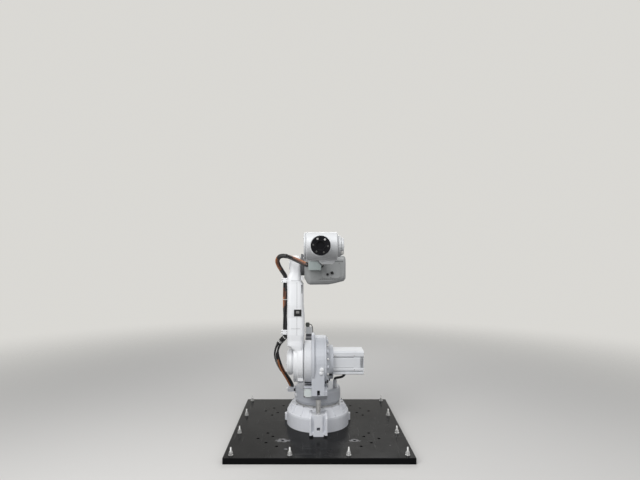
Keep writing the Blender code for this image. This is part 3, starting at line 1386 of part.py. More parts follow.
def build():
    clear_scene()
    floor = make_frame("floor_frame", (0, 0, 0))
    mounting_plate(floor)
    axis_1 = make_frame("axis_1", (0, 0, PLATE_THICKNESS))
    for piece in (base_casting, base_ring, stop_pin, connector_box):
        piece(axis_1)
    turret = make_frame("turret_frame", (0, 0, 0), axis_1)
    turret_pieces = (
        turret_casting,
        turret_cover_plate,
        shoulder_gearbox,
        motor_flange,
        axis2_motor,
        axis1_motor,
        harness_bracket,
        motor_hose,
        harness_lower_loop,
    )
    for piece in turret_pieces:
        piece(turret)
    axis_2 = make_frame("axis_2", (0, -SHOULDER_SET, SHOULDER_HEIGHT), turret)
    for piece in (lower_arm_casting, arm_covers, arm_plate, elbow_stop, harness_arm_run):
        piece(axis_2)
    harness_clamp("harness_clamp_low", axis_2, LOW_CLAMP_RISE)
    harness_clamp("harness_clamp_high", axis_2, HIGH_CLAMP_RISE)
    axis_3 = make_frame("axis_3", (0, 0, LOWER_ARM_LENGTH), axis_2)
    housing_pieces = (
        elbow_bearing,
        elbow_housing,
        front_panel,
        cable_hood,
        forearm_bearing,
        rear_parts,
        harness_upper_loop,
    )
    for piece in housing_pieces:
        piece(axis_3)
    axis_4 = make_frame("axis_4", (0, 0, FOREARM_RISE), axis_3)
    for piece in (forearm_casting, wrist_gear_cover, forearm_belly):
        piece(axis_4)
    axis_5 = make_frame("axis_5", (0, -FOREARM_LENGTH, 0), axis_4)
    wrist_housing(axis_5)
    axis_6 = make_frame("axis_6", (0, -WRIST_REACH, 0), axis_5)
    tool_flange(axis_6)


build()
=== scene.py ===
"""Looks of the six-axis industrial robot arm: camera, light, finishes and fine pieces."""

import json
import math

import bmesh
import bpy
from mathutils import Matrix, Vector


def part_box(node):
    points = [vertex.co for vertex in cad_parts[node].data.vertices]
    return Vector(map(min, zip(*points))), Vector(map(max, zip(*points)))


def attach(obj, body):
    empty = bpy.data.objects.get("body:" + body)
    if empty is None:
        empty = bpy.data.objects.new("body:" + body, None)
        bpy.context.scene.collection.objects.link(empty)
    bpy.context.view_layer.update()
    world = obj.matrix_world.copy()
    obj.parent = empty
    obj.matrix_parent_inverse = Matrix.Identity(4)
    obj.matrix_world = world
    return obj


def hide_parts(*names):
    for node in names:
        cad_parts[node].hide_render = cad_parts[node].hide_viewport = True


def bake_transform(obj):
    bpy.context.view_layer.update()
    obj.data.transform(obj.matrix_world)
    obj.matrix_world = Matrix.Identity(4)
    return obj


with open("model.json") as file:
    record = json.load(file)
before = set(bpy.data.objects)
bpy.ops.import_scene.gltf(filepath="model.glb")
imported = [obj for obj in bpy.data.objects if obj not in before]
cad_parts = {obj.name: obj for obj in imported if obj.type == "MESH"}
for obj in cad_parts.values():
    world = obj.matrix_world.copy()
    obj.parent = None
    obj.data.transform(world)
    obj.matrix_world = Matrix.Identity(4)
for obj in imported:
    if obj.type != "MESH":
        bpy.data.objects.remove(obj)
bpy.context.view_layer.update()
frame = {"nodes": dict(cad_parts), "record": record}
AXES = {joint["name"]: Vector(joint["pos_m"]) for joint in frame["record"]["behaviour"]["joints"]}
SHOULDER = AXES["axis_2_shoulder"]
WRIST = AXES["axis_5_wrist_bend"]

# The photograph: 640 px wide, focal length, vanishing point and horizon measured in it
PHOTO_WIDTH = 640.0
FOCAL_PX = 470.0
VANISHING_OFFSET_PX = 10.0
HORIZON_OFFSET_PX = 16.5
SENSOR_WIDTH = 36.0
CAMERA_AT = (-0.058, -3.540, 1.285)

# Shared mesh settings
EDGE_ANGLE = math.radians(35)
QUARTER = math.pi / 2
TURN = 2 * math.pi
SCREW_STEPS = 24
CABLE_SIDES = 12
CORNER_STEPS = 6
CURVE_STEPS = 24
PROBE_FRONT = -1.5

LEFT = Vector((-1, 0, 0))
RIGHT = Vector((1, 0, 0))
FRONT = Vector((0, -1, 0))
BACK = Vector((0, 1, 0))
UP = Vector((0, 0, 1))
DOWN = Vector((0, 0, -1))


# Camera and studio


def add_camera():
    data = bpy.data.cameras.new("photo_camera")
    data.sensor_width = SENSOR_WIDTH
    data.lens = SENSOR_WIDTH * FOCAL_PX / PHOTO_WIDTH
    data.clip_start = 0.05
    data.clip_end = 60.0
    data.shift_x = VANISHING_OFFSET_PX / PHOTO_WIDTH
    data.shift_y = HORIZON_OFFSET_PX / PHOTO_WIDTH
    camera = bpy.data.objects.new("photo_camera", data)
    bpy.context.scene.collection.objects.link(camera)
    camera.location = CAMERA_AT
    camera.rotation_euler = (QUARTER, 0, 0)
    bpy.context.scene.camera = camera


def add_light(name, location, aim, energy, size):
    data = bpy.data.lights.new(name, "AREA")
    data.energy = energy
    data.shape = "RECTANGLE"
    data.size, data.size_y = size
    light = bpy.data.objects.new(name, data)
    bpy.context.scene.collection.objects.link(light)
    light.location = location
    light.rotation_euler = (Vector(aim) - Vector(location)).to_track_quat("-Z", "Y").to_euler()


class Tree:
    """Short calls that build one node tree."""

    def __init__(self, tree):
        self.tree = tree

    def add(self, kind, inputs=None, **settings):
        node = self.tree.nodes.new(kind)
        for key, value in settings.items():
            setattr(node, key, value)
        for key, value in (inputs or {}).items():
            self.feed(node.inputs[key], value)
        return node

    def feed(self, socket, value):
        if isinstance(value, bpy.types.NodeSocket):
            self.tree.links.new(value, socket)
        else:
            socket.default_value = value

    def math(self, operation, first, second=0.0):
        return self.add("ShaderNodeMath", {0: first, 1: second}, operation=operation).outputs[0]

    def vector(self, operation, first, second=None):
        inputs = {0: first} if second is None else {0: first, 1: second}
        return self.add("ShaderNodeVectorMath", inputs, operation=operation).outputs

    def span(self, value, low, high, to_low=0.0, to_high=1.0):
        """The value's place between low and high, clamped and scaled to a new range."""
        places = {"Value": value, "From Min": low, "From Max": high, "To Min": to_low, "To Max": to_high}
        return self.add("ShaderNodeMapRange", places).outputs["Result"]

    def mix(self, share, first, second):
        node = self.add("ShaderNodeMix", data_type="RGBA")
        for index, value in ((0, share), (6, first), (7, second)):
            self.feed(node.inputs[index], value)
        return node.outputs[2]


BACKDROP = (0.70, 0.69, 0.66, 1)
SKY = (0.94, 0.96, 1.0, 1)
SKY_STRENGTH = 0.28
FLOOR_SEEN = (0.66, 0.65, 0.63, 1)
FLOOR_LIT = (0.28, 0.275, 0.27, 1)
FLOOR_SIZE = 9.0
FLOOR_STEPS = 96
FLOOR_FADE = (1.6, 6.5)


def directly_seen(tree):
    """One for what the camera sees directly, in a reflection or through glass, zero for soft light."""
    path = tree.add("ShaderNodeLightPath").outputs
    shows = tree.math("MAXIMUM", path["Is Camera Ray"], path["Is Glossy Ray"])
    return tree.math("MAXIMUM", shows, path["Is Transmission Ray"])


def studio_world():
    world = bpy.data.worlds.new("studio")
    bpy.context.scene.world = world
    world.use_nodes = True
    world.node_tree.nodes.clear()
    tree = Tree(world.node_tree)
    lit = tree.add("ShaderNodeBackground", {"Color": SKY, "Strength": SKY_STRENGTH}).outputs[0]
    seen = tree.add("ShaderNodeBackground", {"Color": BACKDROP, "Strength": 1.0}).outputs[0]
    mixed = tree.add("ShaderNodeMixShader", {0: directly_seen(tree), 1: lit, 2: seen}).outputs[0]
    tree.add("ShaderNodeOutputWorld", {"Surface": mixed})


def studio_floor():
    """A pale floor that fades into the backdrop far from the object."""
    material = bpy.data.materials.new("floor_paint")
    material.use_nodes = True
    material.node_tree.nodes.clear()
    tree = Tree(material.node_tree)
    place = tree.add("ShaderNodeTexCoord").outputs["Object"]
    reach = tree.vector("LENGTH", place)["Value"]
    fade = tree.add(
        "ShaderNodeMapRange",
        {"Value": reach, "From Min": FLOOR_FADE[0], "From Max": FLOOR_FADE[1]},
        interpolation_type="SMOOTHSTEP",
    ).outputs["Result"]
    colour = tree.mix(directly_seen(tree), FLOOR_LIT, FLOOR_SEEN)
    paint = tree.add("ShaderNodeBsdfDiffuse", {"Color": colour}).outputs[0]
    clear = tree.add("ShaderNodeBsdfTransparent").outputs[0]
    mixed = tree.add("ShaderNodeMixShader", {0: fade, 1: paint, 2: clear}).outputs[0]
    tree.add("ShaderNodeOutputMaterial", {"Surface": mixed})
    mesh = bpy.data.meshes.new("studio_floor")
    shape = bmesh.new()
    bmesh.ops.create_circle(shape, cap_ends=True, radius=FLOOR_SIZE, segments=FLOOR_STEPS)
    shape.to_mesh(mesh)
    shape.free()
    mesh.materials.append(material)
    floor = bpy.data.objects.new("studio_floor", mesh)
    bpy.context.scene.collection.objects.link(floor)


def studio():
    bpy.context.scene.view_settings.view_transform = "Standard"
    studio_world()
    studio_floor()
    add_light("overhead", (-0.2, -2.6, 3.9), (0, -0.3, 0.8), 98, (3.0, 2.0))
    add_light("key", (-2.2, -3.0, 2.4), (0, -0.2, 0.8), 56, (1.8, 1.8))
    add_light("fill", (2.8, -1.8, 2.0), (0, 0, 0.7), 14, (2.0, 2.0))
    add_light("rear", (0.6, 3.2, 2.8), (0, 0, 0.8), 40, (2.4, 1.6))


# Finishes


class Finish(Tree):
    """A material with a Principled shader whose textures sit in the part's own frame."""

    def __init__(self, name, colour, metallic=0.0, edge=0.0012):
        self.material = bpy.data.materials.new(name)
        self.material.use_nodes = True
        super().__init__(self.material.node_tree)
        self.shader = next(node for node in self.tree.nodes if node.type == "BSDF_PRINCIPLED")
        self.feed(self.shader.inputs["Metallic"], metallic)
        self.place = self.add("ShaderNodeTexCoord").outputs["Object"]
        surface = self.add("ShaderNodeNewGeometry").outputs
        self.faces = self.add("ShaderNodeSeparateXYZ", {0: surface["Normal"]}).outputs
        self.spot = self.add("ShaderNodeSeparateXYZ", {0: self.place}).outputs
        self.normal = self.add("ShaderNodeBevel", {"Radius": edge}, samples=4).outputs[0]
        turn = self.vector("DOT_PRODUCT", self.normal, surface["Normal"])["Value"]
        self.edges = self.span(turn, 0.985, 0.86)
        self.colour = colour

    def noise(self, scale, detail=4.0, roughness=0.55, stretch=None):
        place = self.vector("MULTIPLY", self.place, stretch)[0] if stretch else self.place
        values = {"Vector": place, "Scale": scale, "Detail": detail, "Roughness": roughness}
        return self.add("ShaderNodeTexNoise", values).outputs[0]

    def tint(self, share, colour):
        self.colour = self.mix(share, self.colour, colour)

    def bump(self, height, distance, strength=1.0):
        values = {"Strength": strength, "Distance": distance, "Height": height, "Normal": self.normal}
        self.normal = self.add("ShaderNodeBump", values).outputs[0]

    def done(self, roughness):
        self.feed(self.shader.inputs["Base Color"], self.colour)
        self.feed(self.shader.inputs["Roughness"], roughness)
        self.feed(self.shader.inputs["Normal"], self.normal)
        return self.material


def toned(colour, factor, lift=0.0):
    """A colour made darker or lighter by a factor and a lift."""
    return (*(min(1.0, part * factor + lift) for part in colour[:3]), 1)


def cast_paint(name, colour, bands=()):
    """Sprayed casting: orange peel, slight waviness, streaky darkening on undersides that is partly grime
    and partly painted shade, and thin grime on worn edges.
    """
    finish = Finish(name, (*colour, 1))
    finish.tint(finish.span(finish.noise(3.1, 5.0), 0.40, 0.72, 0.0, 0.55), toned(colour, 0.88))
    streak = finish.noise(7.0, 6.0, 0.6, (1.0, 1.0, 0.22))
    # Down-facing surfaces darker in streaks: grime together with painted shade.
    under = finish.span(finish.faces["Z"], 0.1, -0.9, 0.15, 1.0)
    underside_grime_and_shade = finish.math("MULTIPLY", finish.span(streak, 0.56, 0.80, 0.0, 0.45), under)
    finish.tint(underside_grime_and_shade, toned((0.60, 0.58, 0.55), colour[0]))
    dust = finish.math("MULTIPLY", finish.span(finish.faces["Z"], 0.7, 1.0), finish.noise(26.0, 6.0, 0.65))
    finish.tint(finish.math("MULTIPLY", dust, 0.22), toned((0.74, 0.72, 0.69), colour[0]))
    chips = finish.math("MULTIPLY", finish.edges, finish.span(finish.noise(60.0, 4.0), 0.46, 0.60))
    finish.tint(finish.math("MULTIPLY", chips, 0.45), toned(colour, 0.45))
    for low, high, dark in bands:
        inside = finish.math(
            "MULTIPLY",
            finish.math("GREATER_THAN", finish.spot["Z"], low),
            finish.math("LESS_THAN", finish.spot["Z"], high),
        )
        finish.tint(inside, dark)
    finish.bump(finish.noise(19.0, 2.0), 0.0010, 0.25)
    finish.bump(finish.noise(340.0, 2.0), 0.00025, 0.30)
    return finish.done(finish.span(finish.noise(11.0, 6.0), 0.3, 0.75, 0.34, 0.52))


# Spots of the plate that are worn bare, as (x, y, radius)
WORN_SPOTS = (
    (-0.243, -0.358, 0.050),
    (0.243, -0.358, 0.040),
    (-0.214, -0.500, 0.015),
    (0.470, -0.440, 0.006),
)


def plate_steel():
    """Glossy black paint on flat steel: dust, long fine scratches and metal worn bare at the front holes."""
    finish = Finish("plate_paint", (0.0058, 0.0060, 0.0064, 1), edge=0.001)
    finish.feed(finish.shader.inputs["Specular IOR Level"], 0.055)
    flat_top = finish.math("GREATER_THAN", finish.faces["Z"], 0.9)
    dust = finish.span(finish.noise(5.0, 8.0, 0.65), 0.44, 0.78, 0.04, 0.30)
    finish.tint(finish.math("MULTIPLY", dust, flat_top), (0.048, 0.047, 0.045, 1))
    scratch = finish.span(finish.noise(14.0, 3.0, 0.5, (9.0, 0.35, 1.0)), 0.66, 0.70)
    other = finish.span(finish.noise(11.0, 3.0, 0.5, (0.3, 8.0, 1.0)), 0.68, 0.72)
    lines = finish.math("MULTIPLY", finish.math("MAXIMUM", scratch, other), flat_top)
    finish.tint(finish.math("MULTIPLY", lines, 0.30), (0.10, 0.10, 0.10, 1))
    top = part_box("mounting_plate")[1].z
    worn = 0.0
    ragged = finish.span(finish.noise(48.0, 6.0, 0.7), 0.3, 0.7, -0.45, 0.45)
    for x, y, radius in WORN_SPOTS:
        offset = finish.vector("SUBTRACT", finish.place, (x, y, top))[0]
        flat = finish.vector("MULTIPLY", offset, (1.0, 1.6, 1.0))[0]
        reach = finish.vector("LENGTH", flat)["Value"]
        edge = finish.math("ADD", reach, finish.math("MULTIPLY", ragged, radius))
        worn = finish.math("MAXIMUM", worn, finish.span(edge, radius, radius * 0.72))
    worn = finish.math("MULTIPLY", worn, flat_top)
    patchy = finish.span(finish.noise(90.0, 5.0, 0.7), 0.35, 0.62, 0.25, 0.85)
    finish.tint(finish.math("MULTIPLY", worn, patchy), (0.34, 0.34, 0.35, 1))
    finish.tint(finish.math("MULTIPLY", finish.edges, 0.18), (0.07, 0.07, 0.07, 1))
    finish.bump(finish.noise(90.0, 3.0), 0.0003, 0.12)
    return finish.done(finish.span(finish.noise(6.5, 7.0, 0.6), 0.3, 0.75, 0.12, 0.32))


def bare_metal(name, value, roughness):
    """Turned or plated steel with fine tool marks and a few dull spots."""
    finish = Finish(name, (value, value, value, 1), 0.92, edge=0.0006)
    finish.tint(finish.span(finish.noise(34.0, 6.0, 0.65), 0.50, 0.78, 0.0, 0.6), toned((value,) * 3, 0.55))
    finish.bump(finish.noise(28.0, 2.0, 0.5, (1.0, 1.0, 26.0)), 0.0002, 0.25)
    return finish.done(finish.span(finish.noise(58.0, 5.0), 0.3, 0.75, roughness * 0.75, roughness * 1.45))


def moulding(name, colour, roughness=0.5, gloss=0.5):
    """Moulded plastic with a fine spark-eroded grain."""
    finish = Finish(name, (*colour, 1), edge=0.0009)
    finish.feed(finish.shader.inputs["Specular IOR Level"], gloss)
    finish.tint(finish.span(finish.noise(13.0, 6.0, 0.6), 0.42, 0.78, 0.0, 0.5), toned(colour, 1.35, 0.006))
    finish.tint(finish.math("MULTIPLY", finish.edges, 0.30), toned(colour, 0.6, 0.09))
    finish.bump(finish.noise(620.0, 2.0), 0.00015, 0.35)
    return finish.done(finish.span(finish.noise(40.0, 5.0), 0.3, 0.75, roughness * 0.82, roughness * 1.2))


def jacket(name, colour):
    """Extruded cable jacket: slight gloss, with scuffs and dust along its length."""
    finish = Finish(name, (*colour, 1), edge=0.0004)
    scuff = finish.span(finish.noise(42.0, 6.0, 0.7, (1.0, 1.0, 0.3)), 0.55, 0.75, 0.0, 0.40)
    finish.tint(scuff, toned(colour, 0.7, 0.07))
    finish.bump(finish.noise(210.0, 2.0), 0.0002, 0.25)
    return finish.done(finish.span(finish.noise(60.0, 4.0), 0.3, 0.75, 0.32, 0.52))


# Meshes


def facing(location, direction):
    """A frame at a place whose own Z axis points along the direction."""
    turn = Vector(direction).to_track_quat("Z", "Y").to_matrix().to_4x4()
    return Matrix.Translation(Vector(location)) @ turn


def on_surface(node, start, direction):
    """Where a straight line from a start meets a node, as a frame that stands on the surface."""
    hit, place, normal = frame["nodes"][node].ray_cast(Vector(start), Vector(direction))[:3]
    if not hit:
        raise ValueError(f"no surface of {node} from {start}")
    return facing(place, normal)


def on_front(node, x, z):
    """The frame on a node's surface where it is seen straight from the front."""
    return on_surface(node, (x, PROBE_FRONT, z), BACK)


def upright(where):
    """The frame on a surface, turned so that its own X axis lies level."""
    normal = where.to_3x3() @ UP
    level = normal.cross(UP)
    if level.length < 0.01:
        level = RIGHT.copy()
    level.normalize()
    rise = normal.cross(level)
    turn = Matrix((level, rise, normal)).transposed().to_4x4()
    return Matrix.Translation(where.to_translation()) @ turn


def path_frame(path, index):
    """Across and depth directions at a point of a path, without twist."""
    before = path[max(index - 1, 0)]
    after = path[min(index + 1, len(path) - 1)]
    ahead = (after - before).normalized()
    reference = BACK if abs(ahead.y) < 0.9 else UP
    depth = (reference - ahead * reference.dot(ahead)).normalized()
    return depth.cross(ahead), depth


def smooth_route(points, spacing):
    """A smooth curve through all the points of a route, cut into even steps."""
    points = [Vector(point) for point in points]
    ends = [points[0] * 2 - points[1]] + points + [points[-1] * 2 - points[-2]]
    fine = []
    for before, start, end, after in zip(ends, ends[1:], ends[2:], ends[3:]):
        for index in range(CURVE_STEPS):
            t = index / CURVE_STEPS
            bend = before * -1 + start * 3 - end * 3 + after
            lean = before * 2 - start * 5 + end * 4 - after
            fine.append(start + ((end - before) * t + lean * t * t + bend * t * t * t) / 2)
    fine.append(points[-1])
    lengths = [0.0]
    for start, end in zip(fine, fine[1:]):
        lengths.append(lengths[-1] + (end - start).length)
    count = max(2, round(lengths[-1] / spacing))
    route = []
    index = 0
    for step in range(count + 1):
        target = lengths[-1] * step / count
        while index < len(fine) - 2 and lengths[index + 1] < target:
            index += 1
        share = (target - lengths[index]) / (lengths[index + 1] - lengths[index])
        route.append(fine[index].lerp(fine[index + 1], min(max(share, 0), 1)))
    return route


def rounded(half_u, half_v, radius):
    """A rounded rectangle about its own centre."""
    points = []
    for index, (side_u, side_v) in enumerate(((1, 1), (-1, 1), (-1, -1), (1, -1))):
        for step in range(CORNER_STEPS + 1):
            angle = QUARTER * (index + step / CORNER_STEPS)
            u = side_u * (half_u - radius) + radius * math.cos(angle)
            points.append((u, side_v * (half_v - radius) + radius * math.sin(angle)))
    return points


class Shape:
    """Closed bodies gathered for one piece."""

    def __init__(self):
        self.points = []
        self.faces = []
        self.finishes = []

    def skin(self, rings, finish=0):
        """A closed skin through rings, one point being a tip; the finish may be a list, one for each gap."""
        finishes = finish if isinstance(finish, list) else [finish] * (len(rings) - 1)
        starts = []
        for ring in rings:
            starts.append(len(self.points))
            self.points += ring
        for level in range(len(rings) - 1):
            ring, other = rings[level], rings[level + 1]
            start, after = starts[level], starts[level + 1]
            count = max(len(ring), len(other))
            for index in range(count):
                following = (index + 1) % count
                face = [start + index, start + following] if len(ring) > 1 else [start]
                face += [after + following, after + index] if len(other) > 1 else [after]
                self.face(face, finishes[level])
        for end in (0, -1):
            if len(rings[end]) > 1:
                self.face(range(starts[end], starts[end] + len(rings[end])), finishes[end])

    def face(self, corners, finish):
        self.faces.append(tuple(corners))
        self.finishes.append(finish)

    def lathe(self, profile, where, steps=SCREW_STEPS):
        """A turned body from (radius, height) points; a third value makes that ring a hexagon."""
        rings = []
        for radius, height, *hexagon in profile:
            if radius == 0:
                rings.append([where @ Vector((0, 0, height))])
                continue
            ring = []
            for index in range(steps):
                angle = TURN * index / steps
                reach = radius
                if hexagon:
                    off_flat = (angle + math.pi / 6) % (math.pi / 3) - math.pi / 6
                    reach *= math.cos(math.pi / 6) / math.cos(off_flat)
                ring.append(where @ Vector((reach * math.cos(angle), reach * math.sin(angle), height)))
            rings.append(ring)
        self.skin(rings)

    def disc(self, radius, low, high, where):
        self.lathe([(0, low), (radius, low), (radius, high), (0, high)], where)

    def slab(self, half_u, half_v, depth, where, radius=0.0008, bevel=0.0003, finish=0, root=0.0006):
        """A rounded plate rooted in a surface, with a bevel round its upper face."""
        rings = []
        for height, inset in ((-root, 0.0), (depth - bevel, 0.0), (depth, bevel)):
            outline = rounded(half_u - inset, half_v - inset, max(radius - inset, 0.0002))
            rings.append([where @ Vector((u, v, height)) for u, v in outline])
        self.skin(rings, finish)

    def tube(self, path, radius, sides=CABLE_SIDES, finish=0):
        """A round tube along a path; the radius and the finish may follow the path's points."""
        radii = radius if isinstance(radius, list) else [radius] * len(path)
        rings = []
        for index, (point, reach) in enumerate(zip(path, radii)):
            across, depth = path_frame(path, index)
            ring = []
            for side in range(sides):
                angle = TURN * side / sides
                ring.append(point + (across * math.cos(angle) + depth * math.sin(angle)) * reach)
            rings.append(ring)
        self.skin(rings, finish)

    def piece(self, name, materials, slot, body=None):
        """The gathered bodies as one named object, riding on a body if one is given."""
        mesh = bpy.data.meshes.new(name)
        mesh.from_pydata([tuple(point) for point in self.points], [], self.faces)
        for material in materials:
            mesh.materials.append(material)
        mesh.polygons.foreach_set("material_index", self.finishes)
        shape = bmesh.new()
        shape.from_mesh(mesh)
        bmesh.ops.recalc_face_normals(shape, faces=shape.faces)
        shape.to_mesh(mesh)
        shape.free()
        mesh.shade_smooth()
        mesh.set_sharp_from_angle(angle=EDGE_ANGLE)
        obj = bpy.data.objects.new(name, mesh)
        bpy.context.scene.collection.objects.link(obj)
        if body:
            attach(obj, body)
        return obj


# Fasteners

SINK = 0.0006
WASHER_SHARE = 0.22
WASHER_GROWTH = 1.35
# Heads by where they sit, as (radius, height)
BOX_SCREW = (0.0045, 0.005)
COVER_PLATE_SCREW = (0.0030, 0.0026)
MOTOR_SCREW = (0.0034, 0.0028)
MOTOR_END_SCREW = (0.0042, 0.0045)
BRACKET_BOLT = (0.0042, 0.0045)
BRACKET_PLUG = (0.0095, 0.009)
SIDE_PLUG = (0.0105, 0.013)
SHOULDER_COVER_SCREW = (0.0045, 0.0042)
ELBOW_COVER_SCREW = (0.0028, 0.0026)
CLAMP_SIDE_SCREW = (0.0032, 0.0035)
CLAMP_FRONT_SCREW = (0.0028, 0.0030)
PANEL_SCREW = (0.0032, 0.003)
REAR_COVER_SCREW = (0.0042, 0.004)
ELBOW_MOTOR_SCREW = (0.0034, 0.0034)
GEAR_COVER_SCREW = (0.0030, 0.0030)
GEAR_COVER_FITTING = (0.0075, 0.009)
BELLY_SCREW = (0.0036, 0.0034)
BEARING_SCREW = (0.0022, 0.0022)
WRIST_CAP_SCREW = (0.0036, 0.0034)


def washer_under(shape, where, radius):
    """A washer for a head of this radius, rooted in the surface; gives its thickness."""
    thickness = radius * WASHER_SHARE
    shape.disc(radius * WASHER_GROWTH, -SINK, thickness, where)
    return thickness


def cap_screw(shape, where, radius, height):
    """A socket head screw with a hexagonal recess and a washer under it."""
    washer = washer_under(shape, where, radius)
    recess = radius * 0.52
    floor = height * 0.55
    head = [
        (0, washer),
        (radius, washer),
        (radius, height - radius * 0.15),
        (radius * 0.85, height),
        (recess, height, True),
        (recess, floor, True),
        (0, floor),
    ]
    shape.lathe(head, where)


def hex_head(shape, where, radius, low, high):
    """A hexagon head or nut with its rims turned."""
    rim = radius * 0.14
    head = [
        (0, low),
        (radius * 0.9, low),
        (radius, low + rim, True),
        (radius, high - rim, True),
        (radius * 0.86, high),
        (0, high),
    ]
    shape.lathe(head, where)


def hex_bolt(shape, where, radius, height):
    """A hexagon bolt on a washer."""
    hex_head(shape, where, radius, washer_under(shape, where, radius), height)


def screw_ring(shape, centre, axis, ring, count, radius, height, start=0.0):
    """Screws at equal angles round an axis."""
    base = facing(centre, axis)
    for index in range(count):
        angle = start + TURN * index / count
        spot = Matrix.Translation((ring * math.cos(angle), ring * math.sin(angle), 0))
        cap_screw(shape, base @ spot, radius, height)


def face_screws(shape, node, direction, inset_u, inset_v, radius, height, between=0):
    """Screws near the corners of a node's flat face, and a number more along its long sides."""
    low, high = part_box(node)
    direction = Vector(direction)
    axis = max(range(3), key=lambda index: abs(direction[index]))
    u, v = [index for index in range(3) if index != axis]
    if high[v] - low[v] > high[u] - low[u]:
        u, v = v, u
        inset_u, inset_v = inset_v, inset_u
    place = Vector()
    place[axis] = high[axis] if direction[axis] > 0 else low[axis]
    for step in range(between + 2):
        place[u] = low[u] + inset_u + (high[u] - low[u] - 2 * inset_u) * step / (between + 1)
        for place[v] in (low[v] + inset_v, high[v] - inset_v):
            cap_screw(shape, facing(place, direction), radius, height)


# Floor plate

STUD_INSET = 0.045
STUD_COUNT = 4
STUD_HEIGHT = 0.050
STUD_RADIUS = 0.0060
STUD_ROOT = 0.0052
STUD_PITCH = 0.0018
STUD_STEPS = 16
STUD_WASHER = 0.0150
STUD_UPPER_WASHER = 0.0128
STUD_NUT = 0.0113
STUD_LEVELS = (0.0028, 0.0125, 0.0147, 0.0245)


def stud_places():
    """The outer places of a square grid of studs, four to a side."""
    low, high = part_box("mounting_plate")
    span = high.x - low.x - 2 * STUD_INSET
    places = []
    for column in range(STUD_COUNT):
        for row in range(STUD_COUNT):
            if column in (0, STUD_COUNT - 1) or row in (0, STUD_COUNT - 1):
                x = low.x + STUD_INSET + span * column / (STUD_COUNT - 1)
                y = low.y + STUD_INSET + span * row / (STUD_COUNT - 1)
                places.append(Vector((x, y, high.z)))
    return places


def levelling_studs():
    """Threaded studs round the plate, each with a washer, a nut, a second washer and a lock nut."""
    shape = Shape()
    washer, nut, upper_washer, lock_nut = STUD_LEVELS
    for place in stud_places():
        where = facing(place, UP)
        shape.disc(STUD_WASHER, -SINK, washer, where)
        hex_head(shape, where, STUD_NUT, washer, nut)
        shape.disc(STUD_UPPER_WASHER, nut, upper_washer, where)
        hex_head(shape, where, STUD_NUT, upper_washer, lock_nut)
        profile = [(0, lock_nut), (STUD_ROOT, lock_nut)]
        turns = int((STUD_HEIGHT - lock_nut - STUD_RADIUS / 2) / STUD_PITCH)
        for turn in range(turns):
            height = lock_nut + STUD_PITCH * turn
            profile += [(STUD_RADIUS, height + STUD_PITCH / 2), (STUD_ROOT, height + STUD_PITCH)]
        profile += [(STUD_ROOT * 0.75, STUD_HEIGHT), (0, STUD_HEIGHT)]
        shape.lathe(profile, where, STUD_STEPS)
    shape.piece("levelling_studs", [ZINC], "bare_steel", "base")


# Base

# Foot bolt of the lug on the right; the left one mirrors it
LUG_BOLT_AT = (0.222, 0.060, 0.090)
LUG_BOLT_RADIUS = 0.0125
LUG_BOLT_HEIGHT = 0.0120
DECK_RING = 0.186
DECK_SCREWS = 16
DECK_SCREW_RADIUS = 0.0055
DECK_SCREW_HEIGHT = 0.0065
PLUG_RIBS = 20


def base_fasteners():
    """Foot bolts in the side lugs and the ring of screws round the foot of the turret."""
    shape = Shape()
    x, y, z = LUG_BOLT_AT
    for side in (-1, 1):
        hex_bolt(shape, facing((side * x, y, z), UP), LUG_BOLT_RADIUS, LUG_BOLT_HEIGHT)
    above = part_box("base_casting")[1].z + 0.01
    for index in range(DECK_SCREWS):
        angle = TURN * (index + 0.5) / DECK_SCREWS
        start = (DECK_RING * math.cos(angle), DECK_RING * math.sin(angle), above)
        cap_screw(shape, on_surface("base_casting", start, DOWN), DECK_SCREW_RADIUS, DECK_SCREW_HEIGHT)
    shape.piece("base_fasteners", [ZINC], "bare_steel", "base")


def ribs_round(shape, node, count, ring, thickness, start, length):
    """Ribs along Y round a node; ring and thickness are shares of the node's radius."""
    low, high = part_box(node)
    centre = (low + high) / 2
    radius = (high.x - low.x) / 2
    for index in range(count):
        angle = TURN * index / count
        spot = centre + Vector((math.cos(angle), 0, math.sin(angle))) * (radius * ring)
        spot.y = low.y + start
        shape.tube([spot, spot + BACK * length], radius * thickness, 8)


def rear_plug_grips():
    """Finger ribs round the two plugs at the back of the base, and the screws of their box."""
    shape = Shape()
    for node in ("rear_power_connector", "rear_signal_connector"):
        low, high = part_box(node)
        length = high.y - low.y
        ribs_round(shape, node, PLUG_RIBS, 0.86, 0.075, length * 0.34, length * 0.58)
    shape.piece("rear_plug_grips", [BLACK_PLASTIC], "dark_plastic", "base")
    shape = Shape()
    face_screws(shape, "rear_connector_box", BACK, 0.014, 0.014, *BOX_SCREW, 1)
    shape.piece("rear_box_screws", [ZINC], "bare_steel", "base")


# Turret

FITTING_PLACES = ((0.022, 0.514), (0.019, 0.492))
FITTING_RADIUS = 0.0105
FITTING_HEIGHT = 0.009
# Dark blocks and fins beside the nose, painted shade in the gaps between the motor flange's lugs, as (x, z,
# half width, half height)
BLOCK_PLACES = (
    (0.0750, 0.4625, 0.0215, 0.0055),
    (0.0505, 0.4230, 0.0040, 0.0115),
    (0.0640, 0.4230, 0.0040, 0.0115),
    (0.0775, 0.4230, 0.0040, 0.0115),
)
BLOCK_DEPTH = 0.0035
BLOCK_ROOT = 0.012
# A dark patch on the nose's front: painted shade in its slot.
SLOT_AT = (0.0, 0.3546)
SLOT_HALF = (0.0084, 0.0176)
SLOT_PROUD = 0.0006
GASKET_GROWTH = 0.0017
GASKET_DEPTH = 0.0055
# A dark strip on the gearbox's lower front: painted shadow under the gearbox.
BAND_ANGLE = math.radians(53.5)
BAND_HALF = (0.0235, 0.0080)
BAND_PROUD = 0.0012
BAND_X = -0.0745


